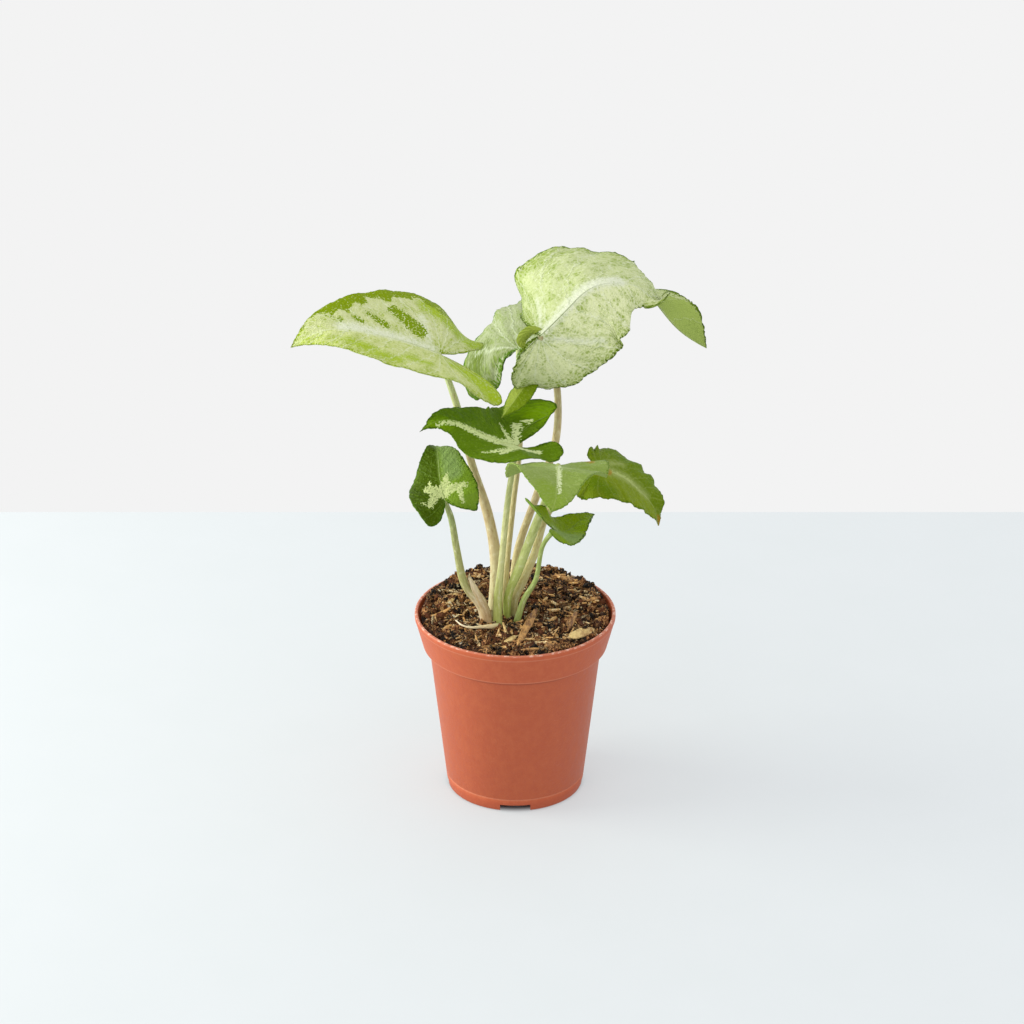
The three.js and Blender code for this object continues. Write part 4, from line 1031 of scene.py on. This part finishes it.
def small_ball():
    """Points and triangles of an icosahedron with each of its sides split in four."""
    gold = (1 + 5 ** 0.5) / 2
    ball = np.array([
        (-1, gold, 0), (1, gold, 0), (-1, -gold, 0), (1, -gold, 0),
        (0, -1, gold), (0, 1, gold), (0, -1, -gold), (0, 1, -gold),
        (gold, 0, -1), (gold, 0, 1), (-gold, 0, -1), (-gold, 0, 1),
    ])
    ball /= np.linalg.norm(ball[0])
    sides = [
        (0, 11, 5), (0, 5, 1), (0, 1, 7), (0, 7, 10), (0, 10, 11), (1, 5, 9), (5, 11, 4),
        (11, 10, 2), (10, 7, 6), (7, 1, 8), (3, 9, 4), (3, 4, 2), (3, 2, 6), (3, 6, 8),
        (3, 8, 9), (4, 9, 5), (2, 4, 11), (6, 2, 10), (8, 6, 7), (9, 8, 1),
    ]
    middles, extra, faces = {}, [], []
    for tri in sides:
        ids = []
        for a, b in zip(tri, tri[1:] + tri[:1]):
            key = (min(a, b), max(a, b))
            if key not in middles:
                middle = ball[a] + ball[b]
                middles[key] = len(ball) + len(extra)
                extra.append(middle / np.linalg.norm(middle))
            ids.append(middles[key])
        faces += [(tri[k], ids[k], ids[k - 1]) for k in range(3)] + [tuple(ids)]
    return np.vstack([ball, extra]), faces


def lumps(count, sizes, seed):
    """Small irregular crumbs scattered on the soil, as one mesh with a tint for each."""
    rng = np.random.default_rng(seed)
    top_gap, wall_gap = 2.2, 1.9
    uneven = 0.28
    ball, ball_faces = small_ball()
    points, faces, values = [], [], []
    for n in range(count):
        r = (RIM_RADIUS - top_gap) * math.sqrt(rng.random())
        a = rng.random() * 2 * math.pi
        size = sizes[0] + (sizes[1] - sizes[0]) * rng.random() ** 2
        r = min(r, RIM_RADIUS - wall_gap - size)
        x, y = r * math.cos(a), r * math.sin(a)
        stretch = rng.uniform(0.6, 1.25, 3) * size
        rough = 1 + uneven * rng.standard_normal((len(ball), 1))
        spin = turn(rng.uniform(0, 360), rng.uniform(-40, 40), rng.uniform(-40, 40))[0]
        body = (ball * np.clip(rough, 0.6, 1.5) * stretch) @ spin.T
        points.append(body + (x, y, surface_height(x, y) + 0.25 * size))
        faces += [tuple(k + n * len(ball) for k in face) for face in ball_faces]
        tint = (rng.random(), rng.random(), rng.random())
        values += [tint] * (3 * len(ball_faces))
    return np.vstack(points), faces, values


def crumb_material(name, dark, middle, light):
    """The look of loose bits, each with a tint of its own."""
    s = Shader(name)
    tint = s.parts(s.attribute("tint"))
    place = s.place()
    grain = s.noise(place, CRUMB_SCALE, 4.0, 0.7)
    colour = s.mix(s.blend(tint[0], 0.15, 1.0), dark, middle)
    flecks = s.plus(grain, s.times(tint[1], 0.16))
    colour = s.mix(s.blend(flecks, 0.58, 0.74, 0.0, 0.85), colour, light)
    normal = s.bump(grain, 0.3)
    roughness = s.blend(grain, 0.3, 0.7, 0.7, 0.95)
    return s.finish(colour, roughness, normal, Specular_IOR_Level=CRUMB_GLOSS)


def splinters(count, lengths, widths, seed):
    """Thin bent fibres and flakes of bark strewn on the soil, as one mesh."""
    rng = np.random.default_rng(seed)
    wall_gap = 3.0
    steps, sides = 5, 4
    points, faces, values = [], [], []
    for n in range(count):
        size = rng.uniform(*lengths) * rng.uniform(0.5, 1)
        width = rng.uniform(*widths)
        thick = min(0.35 * width, 0.3)
        r = (RIM_RADIUS - wall_gap - size / 2) * math.sqrt(rng.random())
        a = rng.random() * 2 * math.pi
        x, y = r * math.cos(a), r * math.sin(a)
        heading, lean = rng.uniform(0, 360), rng.uniform(-FIBRE_LEAN, FIBRE_LEAN)
        spin = turn(heading, lean, rng.uniform(-FIBRE_ROLL, FIBRE_ROLL))[0]
        bow = rng.uniform(-0.12, 0.12)
        z = surface_height(x, y) + rng.uniform(0.5, 1.1)
        for i in range(steps + 1):
            u = 2 * i / steps - 1
            taper = 0.35 + 0.65 * math.sqrt(max(0.0, 1 - u * u * 0.9))
            w = width * taper * rng.uniform(0.85, 1.15) / 2
            for sy, sz in ((-1, -0.6), (1, -0.6), (0.8, 0.7), (-0.8, 0.7)):
                local = np.array([u * size / 2, sy * w + bow * size * u * u, sz * thick])
                points.append(spin @ local + (x, y, z))
        base = n * (steps + 1) * sides
        faces += [tuple(base + k for k in face) for face in closed_rings(steps, sides)]
        tint = (rng.random(), rng.random(), rng.random())
        values += [tint] * (4 * (sides * steps + 2))
    return np.array(points), faces, values


# ---------------- bark chips
def chip(node, seed, roundness):
    """A split piece of bark in the place, direction and size of its CAD node."""
    cad = np.array([v.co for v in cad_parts[node].data.vertices], float)
    cad = (cad - AXIS) / MM
    centre = (cad.max(0) + cad.min(0)) / 2
    _, _, axes = np.linalg.svd(cad - cad.mean(0), full_matrices=False)
    if axes[2, 2] < 0:
        axes[2] = -axes[2]
    axes[1] = np.cross(axes[2], axes[0])
    local = (cad - centre) @ axes.T
    half = np.abs(local).max(0) * (0.98, 0.95, 0.9)  # a little smaller than the node
    ridges, groove_depth = 0.16, 0.14
    steps, sides = 26, 14
    points = []
    for i in range(steps + 1):
        u = 2 * i / steps - 1
        taper = 0.85 * (1 - abs(u) ** roundness) ** 0.7 + 0.15
        for j in range(sides):
            a = 2 * math.pi * j / sides
            c, d = math.cos(a), math.sin(a)
            ridge = 1 + ridges * noise.noise(Vector((u * half[0] * 0.35, 3 * c, 3 * d + seed)))
            grooves = 1 - groove_depth * max(0.0, d) * (0.5 + 0.5 * math.cos(9 * c + 2 * u))
            local_y = half[1] * taper * ridge * math.copysign(abs(c) ** 0.7, c)
            local_z = half[2] * (0.5 + 0.5 * taper) * grooves * math.copysign(abs(d) ** 0.6, d)
            points.append((u * half[0], local_y, local_z))
    return np.array(points) @ axes + centre, closed_rings(steps, sides)


def bark_material(name, dark, light):
    """Bark with grain along it."""
    s = Shader(name)
    place = s.place()
    grain = s.noise(s.scaled(place, (1.0, 0.35, 1.0)), BARK_SCALES["grain"], 5.0, 0.65)
    patch = s.noise(place, BARK_SCALES["patch"], 3.0, 0.6)
    colour = s.mix(s.blend(grain, 0.35, 0.65), dark, light)
    colour = s.mix(s.blend(patch, 0.55, 0.75, 0.0, 0.5), colour, dark)
    return s.finish(colour, s.blend(grain, 0.3, 0.7, 0.6, 0.85), s.bump(grain, 0.3))


# ---------------- pot
def beside_axis(reach, angle):
    """A place on the table, reach from the pot's axis."""
    return (AXIS[0] + reach * MM * math.cos(angle), AXIS[1] + reach * MM * math.sin(angle), 0)


def make_pot(material):
    """The pot's turned wall, with the foot's notches and the drain holes cut out."""
    profile = [(radius + out, height + up) for radius, height, steps in (
        (FOOT_INNER, 0, FOOT_INSIDE), (BASE_RADIUS, 0, FOOT_OUTSIDE), (BODY_RADIUS, BAND_FOOT, UNDER_BAND),
        (BAND_RADIUS, BAND_FOOT, BAND_EDGE), (RIM_RADIUS, POT_HEIGHT, RIM_EDGE),
    ) for out, up in steps]
    profile += [
        (BAND_RADIUS - WALL, BAND_FOOT + WALL), (BODY_RADIUS - WALL, BAND_FOOT - WALL),
        (BASE_RADIUS - WALL, FLOOR[1]),
    ]
    points = [point for radius, z in profile for point in circle(radius, z, POT_SIDES)]
    points += [(0, 0, FLOOR[0]), (0, 0, FLOOR[1])]
    rows = len(profile)
    faces = ring_faces(rows - 1, POT_SIDES)
    low, high = rows * POT_SIDES, rows * POT_SIDES + 1
    last = (rows - 1) * POT_SIDES
    for j in range(POT_SIDES):
        k = (j + 1) % POT_SIDES
        faces += [(low, k, j), (high, last + j, last + k)]
    pot = shape("pot_shell", points, faces, material, ["pot"])
    cutters = []
    for i in range(NOTCHES):
        a = -math.pi / 2 + 2 * math.pi * i / NOTCHES
        bpy.ops.mesh.primitive_cube_add(size=1)
        box = bpy.context.object
        box.scale = (NOTCH_REACH * MM, NOTCH_SIZE[0] * MM, 2 * NOTCH_SIZE[1] * MM)
        box.rotation_euler = (0, 0, a)
        box.location = beside_axis((BASE_RADIUS + FOOT_INNER) / 2, a)
        cutters.append(box)
    for i in range(DRAIN_HOLES):
        size = dict(vertices=DRAIN_SIDES, radius=DRAIN_RADIUS * MM, depth=DRAIN_CUT * MM)
        bpy.ops.mesh.primitive_cylinder_add(**size)
        hole = bpy.context.object
        hole.location = beside_axis(DRAIN_CIRCLE, 2 * math.pi * i / DRAIN_HOLES)
        cutters.append(hole)
    bpy.context.view_layer.update()
    bpy.context.view_layer.objects.active = pot
    for cutter in cutters:
        modifier = pot.modifiers.new("cut", "BOOLEAN")
        modifier.operation = "DIFFERENCE"
        modifier.solver = "EXACT"
        modifier.object = cutter
        bpy.ops.object.modifier_apply(modifier=modifier.name)
        bpy.data.objects.remove(cutter)
    pot.data.set_sharp_from_angle(angle=math.radians(SHARP_FROM))


def pot_material():
    """Terracotta-coloured plastic, finely pebbled and darker towards the foot, with painted highlights as
    pale lines round it and glints on the rim's edge, and a dark line of painted shade under the band.
    """
    s = Shader("terracotta_plastic")
    place = s.place()
    height = s.times(s.parts(place)[2], 1 / MM)
    colours, scales = POT_COLOURS, POT_SCALES
    mottle = s.noise(s.scaled(place, (1.0, 1.0, 0.7)), scales["mottle"], 4.0, 0.7)
    grain = s.noise(place, scales["grain"], 3.0, 0.6)
    pebble = s.noise(place, scales["pebble"], 2.0, 0.5)

    def line(level, reach):
        """How much of a line drawn round the pot at a level covers a point."""
        return s.blend(s.math("ABSOLUTE", s.minus(height, level)), reach, 0.3 * reach)

    colour = s.mix(s.blend(mottle, 0.35, 0.7), *colours["body"])
    colour = s.mix(s.blend(height, 4.2, 2.0, 0.0, 0.5), colour, colours["foot"])
    colour = s.mix(s.blend(grain, 0.6, 0.8, 0.0, 0.3), colour, colours["flecks"])
    # painted shade under the band's overhang
    colour = s.mix(s.times(line(*SHADE_UNDER_BAND_LINE), 0.55), colour, colours["shade_under_band"])
    # painted highlights along the band's foot, the lip and the heel
    for highlight_line in PAINTED_HIGHLIGHT_LINES:
        colour = s.mix(s.times(line(*highlight_line), 0.3), colour, colours["line"])
    # Painted highlights: pale glints, broken up by noise, along the rim's top edge.
    by_rim = s.blend(height, POT_HEIGHT - 0.5, POT_HEIGHT - 0.1)
    rim_glints = s.times(by_rim, s.blend(pebble, 0.5, 0.62, 0.15, 0.75))
    colour = s.mix(rim_glints, colour, colours["rim_glints"])
    normal = s.bump(s.plus(grain, pebble), 0.07)
    return s.finish(colour, s.blend(mottle, 0.3, 0.7, 0.45, 0.58), normal, Specular_IOR_Level=POT_GLOSS)


# ---------------- build the plant
def leaf_piece(name, leaf, look, slot, detail, across, seed):
    """One blade, in place of the node named by slot."""
    steps, across = OUTLINE_STEPS[detail], ACROSS_STEPS[across]
    points, faces, first, second = blade_solid(leaf, steps, across, seed, LOOKS[look]["crinkled"])
    shape(name, points, faces, leaf_material(look), [slot], corners={"leaf": first, "flat": second})


def stem_piece(name, rows, material, node, steps, sides, section=None):
    """A stalk, root or straw in place of a node."""
    points, faces, stems = tube(rows, steps, sides, section)
    shape(name, points, faces, material, [node], corners={"stem": stems})


make_pot(pot_material())

points, faces = soil_surface()
shape("soil_surface", points, faces, soil_material(), ["soil"])
for name, colours, scattered, amounts in (
    ("soil_crumb", CRUMB_COLOURS, lumps, LOOSE_CRUMBS),
    ("soil_speck", SPECK_COLOURS, lumps, LOOSE_SPECKS),
    ("soil_fibre", FIBRE_COLOURS, splinters, LOOSE_FIBRES),
):
    points, faces, tints = scattered(*amounts)
    material = crumb_material(name, *colours)
    shape(name + "s", points, faces, material, corners={"tint": tints}, smooth=False)

for number, (name, leaf) in enumerate(LEAVES.items()):
    detail = "large" if leaf["length"] > LARGE_LEAF else "small"
    leaf_piece(f"leaf_{name}", leaf, name, f"blade_{name}", detail, detail, 3.7 * number)
    rows = STALKS[name] + [(*leaf["attach"], STALK_END)]
    material = stalk_material(name)
    stem_piece(
        f"stalk_{name}", rows, material, f"petiole_{name}", STALK_STEPS, STALK_SIDES, stalk_section,
    )

for name, leaf in (("lobe", LOBE_FLAP), ("curl", SINUS_CURL)):
    leaf_piece(f"leaf_top_{name}", leaf, name, "blade_top", "small", "end", 50.0)

bark = {"dark": bark_material("bark", *BARK_COLOURS), "pale": bark_material("pale_bark", *PALE_BARK_COLOURS)}
for number, node in enumerate(sorted(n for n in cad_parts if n.startswith(("bark_chip", "twig")))):
    kind = "pale" if node in PALE_CHIPS else "dark"
    points, faces = chip(node, 5.0 * number, CHIP_ENDS[kind])
    shape(f"{node}_split", points, faces, bark[kind], [node])

stem_piece("straw_stem", STRAW, bark["pale"], "straw", 20, 10)
stem_piece("crown_root", AERIAL_ROOT, stalk_material("root"), "crown", 60, 14)
stem_piece("stalk_low_sheath", SHEATH, stalk_material("sheath"), "petiole_low", 60, 18)


# ---------------- floor, light, camera
def table_material():
    """Pale, with painted light: it glows faintly to lighten the shade round the pot, but not under the pot,
    which paints shade there.
    """
    s = Shader("table")
    place = s.place()
    from_pot = s.vector("LENGTH", s.vector("SUBTRACT", place, (*AXIS[:2].tolist(), 0.0)))
    glow = s.times(s.blend(from_pot, GLOW_FROM * MM, GLOW_FULL * MM), TABLE_GLOW)
    colour = s.mix(s.noise(place, TABLE_SCALE, 2.0, 0.5), *TABLE_COLOURS)
    light = {"Emission_Color": rgb(TABLE_LIGHT), "Emission_Strength": glow}
    return s.finish(colour, TABLE_ROUGHNESS, Specular_IOR_Level=TABLE_GLOSS, **light)


wide = TABLE_HALF_WIDTH
corners = [(-wide, TABLE_FRONT, 0), (wide, TABLE_FRONT, 0), (wide, TABLE_EDGE, 0), (-wide, TABLE_EDGE, 0)]
table = add_mesh("table", corners, [(0, 1, 2, 3)], table_material())

world = bpy.data.worlds.new("room")
bpy.context.scene.world = world
world.use_nodes = True
nodes, links = world.node_tree.nodes, world.node_tree.links
light_path = nodes.new("ShaderNodeLightPath")
room = nodes["Background"]
room.inputs["Color"].default_value = ROOM_COLOUR
room.inputs["Strength"].default_value = ROOM_STRENGTH
wall = nodes.new("ShaderNodeBackground")
wall.inputs["Color"].default_value = rgb(WALL_COLOUR)
choose = nodes.new("ShaderNodeMixShader")
links.new(light_path.outputs["Is Camera Ray"], choose.inputs[0])
links.new(room.outputs[0], choose.inputs[1])
links.new(wall.outputs[0], choose.inputs[2])
links.new(choose.outputs[0], nodes["World Output"].inputs[0])

for name, (place, aim, size, watts, colour) in LAMPS.items():
    light = bpy.data.lights.new(name, "AREA")
    light.size = size * MM
    light.energy = watts
    light.color = colour
    lamp = add(name, light)
    lamp.location = Vector(np.array(place) * MM + AXIS)
    direction = Vector((np.array(aim) - np.array(place)).tolist())
    lamp.rotation_euler = direction.to_track_quat("-Z", "Y").to_euler()

camera_data = bpy.data.cameras.new("camera")
camera_data.sensor_width = SENSOR_WIDTH
camera_data.lens = FOCAL_PIXELS / PICTURE_PIXELS * SENSOR_WIDTH
camera_data.clip_end = CAMERA_REACH
camera = add("camera", camera_data)
ahead = np.array([0, math.cos(CAMERA_PITCH), -math.sin(CAMERA_PITCH)])
camera.location = Vector((np.array(CAMERA_TARGET) - ahead * CAMERA_DISTANCE) * MM + AXIS)
camera.rotation_euler = (math.pi / 2 - CAMERA_PITCH, 0, 0)
bpy.context.scene.camera = camera
bpy.context.scene.view_settings.view_transform = "Standard"
